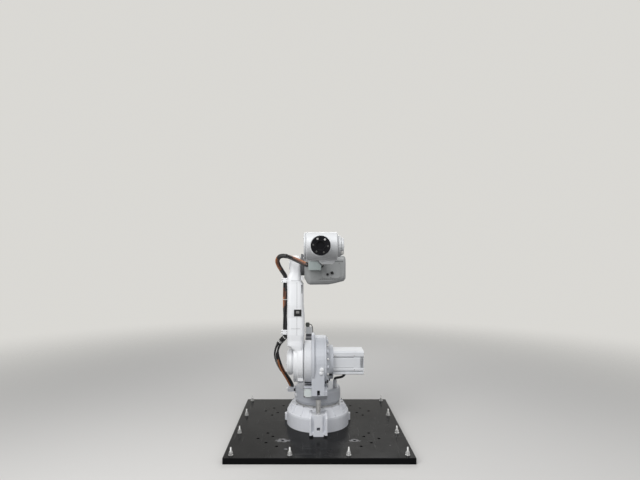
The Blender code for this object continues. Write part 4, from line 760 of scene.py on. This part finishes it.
def turret_fittings():
    """Grease fittings, dark blocks and fins as painted shade between the flange's lugs, a dark patch as
    painted shade in the nose's slot, the seal round the cover, a dark strip as painted shadow under the
    gearbox, and the cover's screws.
    """
    shape = Shape()
    for x, z in FITTING_PLACES:
        hex_bolt(shape, on_front("turret_casting", x, z), FITTING_RADIUS, FITTING_HEIGHT)
    shape.piece("turret_grease_fittings", [ARM_PAINT], "white_casting", "turret")
    shape = Shape()
    for x, z, half_u, half_v in BLOCK_PLACES:
        place = on_front("axis2_motor_flange", x, z).to_translation()
        shape.slab(half_u, half_v, BLOCK_DEPTH, upright(facing(place, FRONT)), bevel=0.0008, root=BLOCK_ROOT)
    shape.slab(*SLOT_HALF, SLOT_PROUD, upright(on_front("turret_casting", *SLOT_AT)))
    low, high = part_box("turret_cover_plate")
    centre = (low + high) / 2
    centre.y = high.y
    half = (high - low) / 2
    gasket = upright(facing(centre, FRONT))
    shape.slab(half.x + GASKET_GROWTH, half.z + GASKET_GROWTH, GASKET_DEPTH, gasket, 0.003)
    outward = Vector((0, -math.cos(BAND_ANGLE), -math.sin(BAND_ANGLE)))
    start = Vector((BAND_X, SHOULDER.y, SHOULDER.z)) + outward
    band = upright(on_surface("shoulder_gearbox", start, -outward))
    shape.slab(*BAND_HALF, BAND_PROUD, band, 0.002)
    shape.piece("turret_dark_blocks", [BLACK_PLASTIC], "dark_plastic", "turret")
    shape = Shape()
    face_screws(shape, "turret_cover_plate", FRONT, 0.0075, 0.0075, *COVER_PLATE_SCREW)
    shape.piece("cover_plate_screws", [ZINC], "bare_steel", "turret")


LUG_RING = 0.166
LUG_COUNT = 10
LUG_SCREW_RADIUS = 0.0078
LUG_SCREW_HEIGHT = 0.0085
LUG_PROBE_X = 0.30


def motor_flange_screws():
    """The screws of the shoulder motor's flange, one in each lug."""
    shape = Shape()
    for index in range(LUG_COUNT):
        angle = TURN * (index + 0.5) / LUG_COUNT
        y = SHOULDER.y + LUG_RING * math.cos(angle)
        z = SHOULDER.z + LUG_RING * math.sin(angle)
        where = on_surface("axis2_motor_flange", (LUG_PROBE_X, y, z), LEFT)
        cap_screw(shape, facing(where.to_translation(), RIGHT), LUG_SCREW_RADIUS, LUG_SCREW_HEIGHT)
    shape.piece("motor_flange_screws", [ZINC], "bare_steel", "turret")


MOTOR_SCREW_X = (0.118, 0.254)
MOTOR_SCREW_HALF = 0.052
# Dark lines on the motor's long sides, partly joints and partly painted shade under its recess edge and in
# its grooves, as (x, z, half width, half height)
MOTOR_JOINT_AND_SHADE_LINES = (
    (0.178, 0.5720, 0.072, 0.0014),
    (0.178, 0.5000, 0.072, 0.0014),
    (0.186, 0.4775, 0.079, 0.0022),
    (0.2545, 0.4870, 0.0022, 0.0045),
    (0.2920, 0.4775, 0.022, 0.0022),
)
# Dark slats on the motor's end: painted shade inside its louvres.
MOTOR_LOUVRE_SHADE_SLATS = tuple((x, 0.5355, 0.0008, 0.050) for x in (0.3000, 0.3055, 0.3110, 0.3165))


def shoulder_motor_details():
    """The dark lines, louvre slats and screws of the shoulder motor, on its front, back and end; the lines
    are partly joints and partly painted shade, the slats painted shade inside the louvres.
    """
    shape = Shape()
    for x, z, half_u, half_v in MOTOR_JOINT_AND_SHADE_LINES + MOTOR_LOUVRE_SHADE_SLATS:
        node = "axis2_motor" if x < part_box("axis2_motor")[1].x else "axis2_motor_end"
        for start, direction in ((PROBE_FRONT, BACK), (-PROBE_FRONT, FRONT)):
            where = upright(on_surface(node, (x, start, z), direction))
            shape.slab(half_u, half_v, 0.0005, where, 0.0006)
    shape.piece("shoulder_motor_joint_and_shade_lines", [BLACK_PLASTIC], "dark_plastic", "turret")
    shape = Shape()
    low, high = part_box("axis2_motor")
    middle = (low.z + high.z) / 2
    for x in MOTOR_SCREW_X:
        for side in (-1, 1):
            z = middle + side * MOTOR_SCREW_HALF
            for start, direction in ((low.y - 0.1, BACK), (high.y + 0.1, FRONT)):
                where = on_surface("axis2_motor", (x, start, z), direction)
                cap_screw(shape, where, *MOTOR_SCREW)
    face_screws(shape, "axis2_motor_end", RIGHT, 0.020, 0.020, *MOTOR_END_SCREW)
    shape.piece("shoulder_motor_screws", [ZINC], "bare_steel", "turret")


CAP_CABLE_RADIUS = 0.0030
CAP_CABLE_ROUTE = (
    (-0.0620, 0.100, 0.7585),
    (-0.0560, 0.100, 0.7600),
    (-0.0480, 0.100, 0.7560),
    (-0.0415, 0.100, 0.7450),
    (-0.0380, 0.100, 0.7280),
    (-0.0370, 0.100, 0.7050),
    (-0.0370, 0.100, 0.6750),
    (-0.0370, 0.100, 0.6440),
)
CAP_KNURLS = 18
CAP_KNURL_INSET = 0.003


def base_motor_details():
    """The knurls of the plug on top of the motor behind the arm, and its thin cable."""
    shape = Shape()
    low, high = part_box("axis1_motor_cap")
    length = high.y - low.y - 2 * CAP_KNURL_INSET
    ribs_round(shape, "axis1_motor_cap", CAP_KNURLS, 0.97, 0.10, CAP_KNURL_INSET, length)
    shape.piece("base_motor_plug_ring", [PLUG_GREY], "dark_plastic", "turret")
    shape = Shape()
    shape.tube(smooth_route(CAP_CABLE_ROUTE, 0.003), CAP_CABLE_RADIUS, 10)
    shape.piece("base_motor_cable", [JACKET_BLACK], "cable_sleeve", "turret")


HOSE_ROUTE = (
    (0.126, -0.060, 0.3760),
    (0.1285, -0.0618, 0.3850),
    (0.1400, -0.0700, 0.3905),
    (0.1590, -0.0830, 0.3965),
    (0.1790, -0.0970, 0.4060),
    (0.1925, -0.1060, 0.4220),
    (0.198, -0.110, 0.4400),
    (0.198, -0.110, 0.4522),
)
HOSE_RADIUS = 0.0092
HOSE_RIB_DEPTH = 0.0015
HOSE_RIB_STEP = 0.0014


def motor_hose():
    """The corrugated hose from its fitting on the drum to the shoulder motor."""
    shape = Shape()
    route = smooth_route(HOSE_ROUTE, HOSE_RIB_STEP)
    radii = [HOSE_RADIUS - HOSE_RIB_DEPTH * (index // 2 % 2) for index in range(len(route))]
    shape.tube(route, radii, 20)
    hose = shape.piece("motor_hose_corrugated", [JACKET_BLACK], "cable_sleeve", "turret")
    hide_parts("motor_hose")
    shape = Shape()
    low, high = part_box("motor_hose_fitting")
    centre = (low + high) / 2
    where = facing((centre.x, centre.y, low.z), UP)
    rise = high.z - low.z
    radius = (high.x - low.x) / 2
    hex_head(shape, where, radius * 1.28, rise * 0.05, rise * 0.34)
    hex_head(shape, where, radius * 1.20, rise * 0.62, rise * 0.94)
    shape.piece("hose_fitting_nuts", [ARM_PAINT], "white_casting", "turret")


SIDE_PLUG_AT = (-0.1600, 0.2610)


def bracket_details():
    """The bolts, white plugs and dark grip at the bracket of the cable bow."""
    shape = Shape()
    low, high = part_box("turret_harness_bracket")
    middle = (low.z + high.z) / 2
    for y in (low.y, high.y):
        side = FRONT if y < 0 else BACK
        for x in (low.x + 0.010, low.x + 0.032):
            cap_screw(shape, facing((x, y, middle), side), *BRACKET_BOLT)
    shape.piece("bracket_bolts", [ZINC], "bare_steel", "turret")
    shape = Shape()
    hex_bolt(shape, facing((low.x, 0, middle), LEFT), *BRACKET_PLUG)
    hex_bolt(shape, on_front("turret_casting", *SIDE_PLUG_AT), *SIDE_PLUG)
    shape.piece("bracket_plugs", [ARM_PAINT], "white_casting", "turret")
    shape = Shape()
    root = upright(facing((high.x - 0.005, low.y, middle), FRONT))
    shape.slab(0.0065, 0.0095, 0.003, root, 0.002, 0.0008)
    shape.piece("bracket_cable_grip", [BLACK_PLASTIC], "dark_plastic", "turret")


# Lower arm

# Raised casting lines on the arm, in the darker housing paint: painted shade of grooves.
ARM_RIDGE_X = -0.150
ARM_RIDGE_HALF = 0.0011
ARM_RIDGE_STEP = 0.012
ARM_RIDGE_SPANS = ((0.735, 0.858), (0.920, 1.105))
ARM_SEAM_HEIGHTS = (1.114, 0.779)
ARM_SEAM_SPAN = (-0.192, -0.126)
PLATE_MIDDLE_HALF = (0.0115, 0.0085)
PLATE_MIDDLE_RISE = 0.005
# A dark grey strip on the arm's inner edge by the elbow: painted shade on that edge.
EDGE_STRIP_X = -0.1160
EDGE_STRIP_SPAN = (1.024, 1.084)
EDGE_STRIP_RADII = (0.0018, 0.0052)


def arm_line(places):
    """Points on the arm's surface, seen straight from the front at each place."""
    return [on_front("lower_arm_casting", x, z).to_translation() for x, z in places]


def steps_between(low, high, spacing):
    count = max(1, round((high - low) / spacing))
    return [low + (high - low) * step / count for step in range(count + 1)]


def arm_details():
    """Casting lines in a darker paint as painted shade of their grooves, middle of the square plate, dark
    edge strip as painted shade on the arm's inner edge, and screws of covers and clamps.
    """
    shape = Shape()
    for low, high in ARM_RIDGE_SPANS:
        places = [(ARM_RIDGE_X, z) for z in steps_between(low, high, ARM_RIDGE_STEP)]
        shape.tube(arm_line(places), ARM_RIDGE_HALF, 8)
    for height in ARM_SEAM_HEIGHTS:
        places = [(x, height) for x in steps_between(*ARM_SEAM_SPAN, ARM_RIDGE_STEP / 2)]
        shape.tube(arm_line(places), ARM_RIDGE_HALF, 8)
    shape.piece("arm_casting_shade_lines", [HOUSING_GREY_AND_SHADE], "white_casting", "lower_arm")
    low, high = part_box("arm_plate")
    centre = (low + high) / 2
    shape = Shape()
    middle = upright(facing((centre.x, low.y, centre.z + PLATE_MIDDLE_RISE), FRONT))
    shape.slab(*PLATE_MIDDLE_HALF, 0.001, middle, 0.003, 0.0005)
    shape.piece("arm_plate_middle", [DULL_GREY], "grey_metal", "lower_arm")
    shape = Shape()
    path = arm_line([(EDGE_STRIP_X, z) for z in steps_between(*EDGE_STRIP_SPAN, ARM_RIDGE_STEP)])
    thin, thick = EDGE_STRIP_RADII
    radii = [thin + (thick - thin) * index / (len(path) - 1) for index in range(len(path))]
    shape.tube(path, radii)
    shape.piece("arm_edge_shade_strip", [SHADOW_GREY], "dark_plastic", "lower_arm")
    shape = Shape()
    cover_centre = (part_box("shoulder_cover")[0].x, SHOULDER.y, SHOULDER.z)
    screw_ring(shape, cover_centre, LEFT, 0.074, 8, *SHOULDER_COVER_SCREW)
    low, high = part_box("elbow_cover")
    cover_centre = (low.x, (low.y + high.y) / 2, (low.z + high.z) / 2)
    screw_ring(shape, cover_centre, LEFT, 0.026, 6, *ELBOW_COVER_SCREW)
    for node in ("harness_clamp_low", "harness_clamp_high"):
        low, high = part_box(node)
        middle = (low.y + high.y) / 2
        for z in (low.z + 0.009, high.z - 0.009):
            for y in (middle - 0.017, middle + 0.017):
                cap_screw(shape, facing((low.x, y, z), LEFT), *CLAMP_SIDE_SCREW)
            for x in (low.x + 0.0070, high.x - 0.0075):
                cap_screw(shape, facing((x, low.y, z), FRONT), *CLAMP_FRONT_SCREW)
    shape.piece("arm_screws", [ZINC], "bare_steel", "lower_arm")


# Cable harness

STRAND_RADIUS = 0.0066
STRAND_RING = 0.0094
STRAND_STEP = 0.005
# Thin pale wires along the bundle: painted highlights on the black cables.
HIGHLIGHT_WIRE_RADIUS = 0.0013
SLEEVE_RADIUS = 0.0160
SLEEVE_RIB = 0.0009
SLEEVE_STEP = 0.0016
LOWER_SLEEVE_RADIUS = 0.0125
LOWER_SLEEVE_SHIFT = 0.0035
TIE_RADIUS = SLEEVE_RADIUS + 0.0012
TIE_STEP = 0.001
BLACK, ORANGE, BROWN, PALE_TIE_AND_HIGHLIGHT = range(4)
LOWER_LOOP_BOW = 0.081
LOWER_LOOP_SHARES = ((0.150, 0.28), (0.379, 0.80), (0.640, 1.0), (0.833, 0.71), (0.953, 0.24))


def bundle_centre():
    low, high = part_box("harness_arm_run")
    return (low + high) / 2


def lower_loop_route():
    """The bow from the turret's bracket to the lower clamp, a little further out than the solid."""
    bundle = bundle_centre()
    bracket_low, bracket_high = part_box("turret_harness_bracket")
    loop_low, loop_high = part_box("harness_lower_loop")
    start_x = (bracket_low.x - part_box("turret_casting")[1].x) / 2
    low = loop_low.z + SLEEVE_RADIUS
    high = loop_high.z - SLEEVE_RADIUS
    points = [(start_x, 0, loop_low.z), (start_x, 0, low)]
    for share, bow in LOWER_LOOP_SHARES:
        x = start_x + (bundle.x - start_x) * share - LOWER_LOOP_BOW * bow
        points.append((x, bundle.y * share, low + (high - low) * share))
    return points + [(bundle.x, bundle.y, high), (bundle.x, bundle.y, loop_high.z)]


UPPER_LOOP_RISE = 0.146
UPPER_LOOP_SHARES = (
    (-0.159, 0.048, 0.280),
    (-0.284, 0.120, 0.528),
    (-0.326, 0.240, 0.750),
    (-0.228, 0.361, 0.931),
    (-0.022, 0.482, 0.979),
    (0.248, 0.633, 0.912),
    (0.514, 0.783, 0.788),
    (0.689, 0.873, 0.704),
    (0.862, 0.946, 0.611),
)
HOOD_ENTRY_SHARE = 0.62


def upper_loop_route():
    """The bow from the upper clamp over the elbow into the hood, through the solid's own points."""
    bundle = bundle_centre()
    hood_low, hood_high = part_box("cable_hood")
    loop_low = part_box("harness_upper_loop")[0].z
    start = Vector((bundle.x, bundle.y, loop_low + SLEEVE_RADIUS))
    entry = hood_low.z + (hood_high.z - hood_low.z) * HOOD_ENTRY_SHARE
    end = Vector((hood_low.x - SLEEVE_RADIUS / 2, (hood_low.y + hood_high.y) / 2, entry))
    points = [(bundle.x, bundle.y, loop_low), start]
    for x_share, y_share, z_share in UPPER_LOOP_SHARES:
        x = start.x + (end.x - start.x) * x_share
        y = start.y + (end.y - start.y) * y_share
        points.append((x, y, start.z + UPPER_LOOP_RISE * z_share))
    return points + [end, (hood_low.x, end.y, end.z)]


def strands(points, cables, fan, turn):
    """A shape of cables laid round each other along a route, further apart where they hang free.

    Each cable is (start angle in degrees, first share, least ring, radius, spans of colour).
    """
    shape = Shape()
    route = smooth_route(points, STRAND_STEP)
    count = len(route)
    for degrees, first, least, radius, spans in cables:
        path = []
        colours = []
        for index, point in enumerate(route):
            share = index / (count - 1)
            if share < first:
                continue
            across, depth = path_frame(route, index)
            angle = math.radians(degrees) + turn * share
            ring = STRAND_RING * (1 + fan * math.sin(math.pi * share**1.3) ** 2)
            if first:
                ring *= min(1.0, 0.35 + (share - first) * 5)
            ring = max(ring, least)
            path.append(point + (across * math.cos(angle) + depth * math.sin(angle)) * ring)
            colours.append(next(colour for until, colour in spans if share <= until + 0.001))
        shape.tube(path, radius, CABLE_SIDES, colours[:-1])
    return shape


def sleeve(shape, route, low, high, radius=SLEEVE_RADIUS, shift=0.0):
    """A ribbed black sleeve over a share of the route."""
    fine = smooth_route(route, SLEEVE_STEP)
    first = round(low * (len(fine) - 1))
    last = round(high * (len(fine) - 1))
    part = [fine[index] + path_frame(fine, index)[0] * shift for index in range(first, last + 1)]
    radii = [radius - SLEEVE_RIB * (index // 2 % 2) for index in range(len(part))]
    shape.tube(part, radii, 20, BLACK)


def tie(shape, route, share, width):
    """A pale strap round the bundle with its small buckle."""
    fine = smooth_route(route, TIE_STEP)
    middle = round(share * (len(fine) - 1))
    half = max(1, round(width / 2 / TIE_STEP))
    shape.tube(fine[middle - half : middle + half + 1], TIE_RADIUS, 24, PALE_TIE_AND_HIGHLIGHT)
    across, depth = path_frame(fine, middle)
    along_path = depth.cross(across)
    buckle = Matrix((depth, along_path, across * -1)).transposed().to_4x4()
    where = Matrix.Translation(fine[middle] - across * TIE_RADIUS) @ buckle
    shape.slab(0.0045, width * 0.55, 0.0035, where, 0.001, 0.0008, PALE_TIE_AND_HIGHLIGHT)


def harness():
    """The cable bundle in three stretches: lower bow, run on the arm and upper bow."""
    materials = [JACKET_BLACK, JACKET_ORANGE, JACKET_BROWN, WHITE_TIE_AND_HIGHLIGHT]
    black = ((1.0, BLACK),)
    # Pale up to this share, then black: the pale wires are painted highlights.
    highlight_spans = ((0.80, PALE_TIE_AND_HIGHLIGHT), (1.0, BLACK))
    points = lower_loop_route()
    cables = (
        (190, 0.0, 0.0138, STRAND_RADIUS, ((0.54, ORANGE), (1.0, BLACK))),
        (280, 0.20, 0.0, STRAND_RADIUS, ((0.42, BROWN), (1.0, BLACK))),
        (10, 0.20, 0.0, STRAND_RADIUS, black),
        (100, 0.20, 0.0, STRAND_RADIUS, black),
        (95, 0.36, 0.0165, HIGHLIGHT_WIRE_RADIUS, highlight_spans),
        (140, 0.36, 0.0172, HIGHLIGHT_WIRE_RADIUS, highlight_spans),
        (48, 0.42, 0.0165, HIGHLIGHT_WIRE_RADIUS, highlight_spans),
    )
    shape = strands(points, cables, 0.50, 3.1)
    sleeve(shape, points, 0.0, 0.27, LOWER_SLEEVE_RADIUS, LOWER_SLEEVE_SHIFT)
    tie(shape, points, 0.855, 0.012)
    tie(shape, points, 0.955, 0.006)
    lower = shape.piece("harness_lower_cables", materials, "cable_sleeve")
    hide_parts("harness_lower_loop")
    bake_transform(lower)

    centre = bundle_centre()
    low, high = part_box("harness_arm_run")
    points = [(centre.x, centre.y, z) for z in steps_between(low.z, high.z, 0.05)]
    cables = (
        (90, 0.0, 0.0, STRAND_RADIUS, ((0.46, BLACK), (0.66, ORANGE), (0.82, BROWN), (1.0, BLACK))),
        (180, 0.0, 0.0, STRAND_RADIUS, ((0.50, BLACK), (0.76, BROWN), (1.0, BLACK))),
        (0, 0.0, 0.0, STRAND_RADIUS, ((0.44, BLACK), (0.60, BROWN), (0.74, ORANGE), (1.0, BLACK))),
        (270, 0.0, 0.0, STRAND_RADIUS, black),
    )
    shape = strands(points, cables, 0.0, 2.6)
    tie(shape, points, 0.617, 0.004)
    run = shape.piece("harness_arm_cables", materials, "cable_sleeve", "lower_arm")
    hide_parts("harness_arm_run")

    points = upper_loop_route()
    cables = (
        (150, 0.0, 0.0, STRAND_RADIUS, ((0.16, BLACK), (0.42, ORANGE), (0.70, BLACK), (1.0, BROWN))),
        (240, 0.0, 0.0, STRAND_RADIUS, ((0.16, BLACK), (0.40, BROWN), (1.0, BLACK))),
        (330, 0.0, 0.0, STRAND_RADIUS, black),
        (60, 0.0, 0.0, STRAND_RADIUS, ((0.60, BLACK), (1.0, ORANGE))),
    )
    shape = strands(points, cables, 0.05, 2.2)
    sleeve(shape, points, 0.40, 0.58)
    sleeve(shape, points, 0.955, 1.0)
    upper = shape.piece("harness_upper_cables", materials, "cable_sleeve")
    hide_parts("harness_upper_loop")
    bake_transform(upper)


# Elbow housing

# Dark slots along the front panel's lower edge: painted shadow under the panel.
PANEL_SHADOW_SLOT_COUNT = 8
PANEL_SHADOW_SPAN = (0.014, 0.114)
PANEL_SHADOW_Z = 1.1270
SHADOW_SLOT_HALF = (0.0046, 0.0013)
# A dark line under the ledge: painted shadow of the ledge.
LEDGE_SHADOW_SPAN = (0.072, 0.172)
LEDGE_SHADOW_Z = 1.2490
SHADOW_LINE_PROUD = 0.0006
# Section of a socket's rim, as (growth over the socket's radius, height)
SOCKET_RIM = ((0.0003, 0), (0.0045, 0), (0.0038, 0.003), (0.0003, 0.003))
LEDGE_SPAN = (0.1215, 0.172)
LEDGE_Z = 1.2570
ELBOW_HOSE_RADIUS = 0.0045
ELBOW_HOSE_POINTS = (
    (0.0175, -0.316, 1.2080),
    (0.0240, -0.312, 1.2120),
    (0.0310, -0.300, 1.2180),
    (0.0330, -0.288, 1.2200),
    (0.0330, -0.2745, 1.2200),
)


def housing_details():
    """Panel screws, dark slots as painted shadow under the panel, a dark line as painted shadow under the
    ledge, the ledge, socket rims and the short hose beside the hood.
    """
    shape = Shape()
    for index in range(PANEL_SHADOW_SLOT_COUNT):
        x = PANEL_SHADOW_SPAN[0] + (PANEL_SHADOW_SPAN[1] - PANEL_SHADOW_SPAN[0]) * index / (PANEL_SHADOW_SLOT_COUNT - 1)
        where = upright(on_front("elbow_housing", x, PANEL_SHADOW_Z))
        shape.slab(*SHADOW_SLOT_HALF, SHADOW_LINE_PROUD, where, 0.0009)
    ledge_shadow_half = (LEDGE_SHADOW_SPAN[1] - LEDGE_SHADOW_SPAN[0]) / 2
    where = upright(on_front("elbow_housing", LEDGE_SHADOW_SPAN[0] + ledge_shadow_half, LEDGE_SHADOW_Z))
    shape.slab(ledge_shadow_half, SHADOW_SLOT_HALF[1], SHADOW_LINE_PROUD, where, 0.0009)
    shape.tube(smooth_route(ELBOW_HOSE_POINTS, 0.002), ELBOW_HOSE_RADIUS, CABLE_SIDES)
    shape.piece("housing_shadow_lines_and_hose", [BLACK_PLASTIC], "dark_plastic", "upper_arm")
    shape = Shape()
    ledge = (LEDGE_SPAN[1] - LEDGE_SPAN[0]) / 2
    where = upright(on_front("elbow_housing", LEDGE_SPAN[0] + ledge, LEDGE_Z))
    shape.slab(ledge, 0.0022, 0.0022, where, 0.0018, 0.0008)
    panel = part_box("housing_front_panel")[0].y
    for node in ("socket_small", "socket_large"):
        low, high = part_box(node)
        centre = (low + high) / 2
        radius = (high.x - low.x) / 2
        profile = [(radius + growth, height - SINK) for growth, height in SOCKET_RIM]
        rim(shape, profile, facing((centre.x, panel, centre.z), FRONT), 32)
    shape.piece("housing_pale_details", [HOUSING_GREY_AND_SHADE], "white_casting", "upper_arm")
    shape = Shape()
    face_screws(shape, "housing_front_panel", FRONT, 0.008, 0.008, *PANEL_SCREW, 1)
    face_screws(shape, "rear_cover", BACK, 0.012, 0.014, *REAR_COVER_SCREW, 1)
    for node in ("axis3_motor", "axis4_motor"):
        low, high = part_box(node)
        centre = (low + high) / 2
        place = (centre.x, high.y, centre.z)
        screw_ring(shape, place, BACK, 0.033, 4, *ELBOW_MOTOR_SCREW, math.pi / 4)
    shape.piece("housing_screws", [DULL_GREY], "grey_metal", "upper_arm")


def rim(shape, profile, where, steps):
    """A turned ring with an open middle."""
    start = len(shape.points)
    corners = len(profile)
    for index in range(steps):
        angle = TURN * index / steps
        for reach, height in profile:
            shape.points.append(where @ Vector((reach * math.cos(angle), reach * math.sin(angle), height)))
        here = start + index * corners
        there = start + (index + 1) % steps * corners
        for corner in range(corners):
            after = (corner + 1) % corners
            shape.face((here + corner, here + after, there + after, there + corner), 0)


# Forearm and wrist

FLANGE_RING = 0.040
FLANGE_SCREW_RADIUS = 0.0040
FLANGE_SCREW_HEIGHT = 0.0034
# The two top screws bright as a painted highlight, the four others dark as painted shade.
FLANGE_HIGHLIGHT_ANGLES = (55, 115)
FLANGE_SHADED_ANGLES = (175, 235, 295, 355)
COVER_FITTING_AT = (0.1280, 1.3075)


def forearm_details():
    """Screws of the gear cover, the belly cover and the bearing's face, and the cover's fitting."""
    shape = Shape()
    low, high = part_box("wrist_gear_cover")
    middle = (low.z + high.z) / 2
    reach = (high.z - low.z) / 2 - 0.009
    for y in steps_between(low.y + 0.055, high.y - 0.055, 0.05):
        for side in (-1, 1):
            cap_screw(shape, facing((high.x, y, middle + side * reach), RIGHT), *GEAR_COVER_SCREW)
    for y in (low.y + 0.011, high.y - 0.011):
        cap_screw(shape, facing((high.x, y, middle), RIGHT), *GEAR_COVER_SCREW)
    fitting = Vector((COVER_FITTING_AT[0], low.y, COVER_FITTING_AT[1]))
    low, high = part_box("forearm_motor_belly")
    for y in (low.y + 0.020, high.y - 0.020):
        for x in (low.x + 0.020, high.x - 0.020):
            cap_screw(shape, facing((x, y, low.z), DOWN), *BELLY_SCREW)
    centre = (0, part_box("forearm_bearing")[0].y, AXES["axis_4_forearm_roll"].z)
    screw_ring(shape, centre, FRONT, 0.0805, 12, *BEARING_SCREW)
    shape.piece("forearm_screws", [ZINC], "bare_steel", "forearm")
    shape = Shape()
    hex_bolt(shape, facing(fitting, FRONT), *GEAR_COVER_FITTING)
    shape.piece("gear_cover_fitting", [GREY_METAL], "grey_metal", "forearm")


def wrist_details():
    """Screws of the wrist's end cap and the two low plugs on its top."""
    shape = Shape()
    screw_ring(shape, (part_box("wrist_end_cap")[0].x, WRIST.y, WRIST.z), LEFT, 0.068, 8, *WRIST_CAP_SCREW)
    for x in (-0.045, 0.045):
        where = on_surface("wrist_housing", (x, WRIST.y + 0.010, WRIST.z + 0.2), DOWN)
        shape.lathe([(0, -SINK), (0.0045, -SINK), (0.0045, 0.0004), (0.0038, 0.0008), (0, 0.0008)], where)
    shape.piece("wrist_screws", [ZINC], "bare_steel", "wrist")


def flange_details():
    """Screws on the black tool flange, the two top ones bright zinc as a painted highlight and the four
    others blackened and darker as painted shade, and the centring ring.
    """
    low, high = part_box("tool_flange")
    face = (0, low.y, (low.z + high.z) / 2)
    rows = (
        ("flange_highlight_screws", FLANGE_HIGHLIGHT_ANGLES, ZINC, "bare_steel"),
        ("flange_shaded_screws", FLANGE_SHADED_ANGLES, BLACKENED_SHADED_STEEL, "black_flange"),
    )
    for name, angles, material, slot in rows:
        shape = Shape()
        for degrees in angles:
            angle = math.radians(degrees)
            place = Vector(face) + Vector((math.cos(angle), 0, math.sin(angle))) * FLANGE_RING
            cap_screw(shape, facing(place, FRONT), FLANGE_SCREW_RADIUS, FLANGE_SCREW_HEIGHT)
        shape.piece(name, [material], slot, "flange")
    shape = Shape()
    ring = [(0.0245, -SINK), (0.0305, -SINK), (0.0300, 0.0020), (0.0250, 0.0020)]
    rim(shape, ring, facing(face, FRONT), 48)
    shape.piece("flange_centring_ring", [FLANGE_BLACK], "black_flange", "flange")


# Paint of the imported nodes


def paint_nodes(materials):
    """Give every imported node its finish."""
    for node, material in materials.items():
        obj = frame["nodes"][node]
        obj.data.materials.clear()
        obj.data.materials.append(material)


add_camera()
studio()

# ARM_PAINT is the castings' white. The drum, turret, housing and forearm copies are toned darker where those
# parts stood in shade, so they are partly painted shade; the housing's grey is partly its own colour.
ARM_PAINT = cast_paint("arm_paint", (0.89, 0.90, 0.915))
DRUM_PAINT_AND_SHADE = cast_paint("drum_paint_and_shade", (0.74, 0.75, 0.77))
TURRET_PAINT_AND_SHADE = cast_paint("turret_paint_and_shade", (0.56, 0.58, 0.62))
BASE_PAINT = cast_paint("base_paint", (0.80, 0.815, 0.855))
MOTOR_PAINT = cast_paint("motor_paint", (0.75, 0.765, 0.79))
HOUSING_GREY_AND_SHADE = cast_paint("housing_grey_and_shade", (0.35, 0.36, 0.36))
FOREARM_PAINT_AND_SHADE = cast_paint("forearm_paint_and_shade", (0.58, 0.59, 0.60))
COVER_PAINT = cast_paint("pale_cover_paint", (0.72, 0.77, 0.755))
DARK_GREY = (0.10, 0.10, 0.105, 1)
MID_GREY = (0.42, 0.42, 0.43, 1)
MOTOR_BANDS = ((0.0, 0.657, DARK_GREY), (0.657, 0.673, MID_GREY), (0.673, 0.691, DARK_GREY))
BANDED_PAINT = cast_paint("base_motor_paint", (0.84, 0.845, 0.84), MOTOR_BANDS)
PLATE = plate_steel()
ZINC = bare_metal("zinc_plated_steel", 0.62, 0.30)
STEEL = bare_metal("ground_steel", 0.60, 0.30)
# Blackened steel for the four lower flange screws, also darker as painted shade.
BLACKENED_SHADED_STEEL = bare_metal("blackened_and_shaded_steel", 0.10, 0.34)
GREY_METAL = bare_metal("machined_aluminium", 0.46, 0.38)
DULL_GREY = bare_metal("dull_grey_plate", 0.28, 0.45)
BLACK_PLASTIC = moulding("black_plastic", (0.010, 0.010, 0.011), 0.5, 0.3)
PLUG_GREY = moulding("dark_grey_plastic", (0.085, 0.090, 0.080), 0.5)
# Dark grey for the arm's edge strip and the elbow bearing: painted shade.
SHADOW_GREY = moulding("painted_shadow_grey", (0.110, 0.112, 0.118), 0.6, 0.3)
HOOD_PLASTIC = moulding("grey_green_plastic", (0.40, 0.455, 0.445), 0.48)
WHITE_TIE_AND_HIGHLIGHT = moulding("white_nylon_and_highlight", (0.62, 0.62, 0.60), 0.42)
FLANGE_BLACK = moulding("black_oxide", (0.0055, 0.0055, 0.0070), 0.36, 0.10)
JACKET_BLACK = jacket("black_jacket", (0.010, 0.010, 0.011))
JACKET_ORANGE = jacket("orange_jacket", (0.40, 0.155, 0.065))
JACKET_BROWN = jacket("brown_jacket", (0.115, 0.046, 0.026))

levelling_studs()
base_fasteners()
rear_plug_grips()
turret_fittings()
motor_flange_screws()
shoulder_motor_details()
base_motor_details()
motor_hose()
bracket_details()
arm_details()
harness()
housing_details()
forearm_details()
wrist_details()
flange_details()

# Nodes that aren't in the arm's own paint
NODE_FINISHES = (
    (PLATE, ("mounting_plate",)),
    (BASE_PAINT, ("base_casting", "rear_connector_box")),
    (STEEL, ("stop_pin",)),
    (GREY_METAL, ("base_top_ring", "forearm_bearing")),
    (TURRET_PAINT_AND_SHADE, ("turret_casting", "axis2_motor_flange", "turret_harness_bracket")),
    (DRUM_PAINT_AND_SHADE, ("shoulder_gearbox",)),
    (MOTOR_PAINT, ("axis2_motor", "axis2_motor_end")),
    (BANDED_PAINT, ("axis1_motor",)),
    (PLUG_GREY, ("axis1_motor_cap",)),
    (COVER_PAINT, ("turret_cover_plate",)),
    (SHADOW_GREY, ("elbow_bearing",)),
    (HOUSING_GREY_AND_SHADE, ("elbow_housing", "housing_front_panel", "rear_cover", "axis3_motor", "axis4_motor")),
    (HOOD_PLASTIC, ("cable_hood",)),
    (FOREARM_PAINT_AND_SHADE, ("forearm_casting", "forearm_motor_belly", "wrist_gear_cover")),
    (FOREARM_PAINT_AND_SHADE, ("wrist_housing", "wrist_end_cap", "wrist_nose")),
    (FLANGE_BLACK, ("tool_flange",)),
    (BLACK_PLASTIC, ("rear_power_connector", "rear_signal_connector", "arm_plate")),
    (BLACK_PLASTIC, ("socket_small", "socket_large")),
)
finishes = {node: ARM_PAINT for node in frame["nodes"]}
for material, nodes in NODE_FINISHES:
    finishes.update(dict.fromkeys(nodes, material))
paint_nodes(finishes)
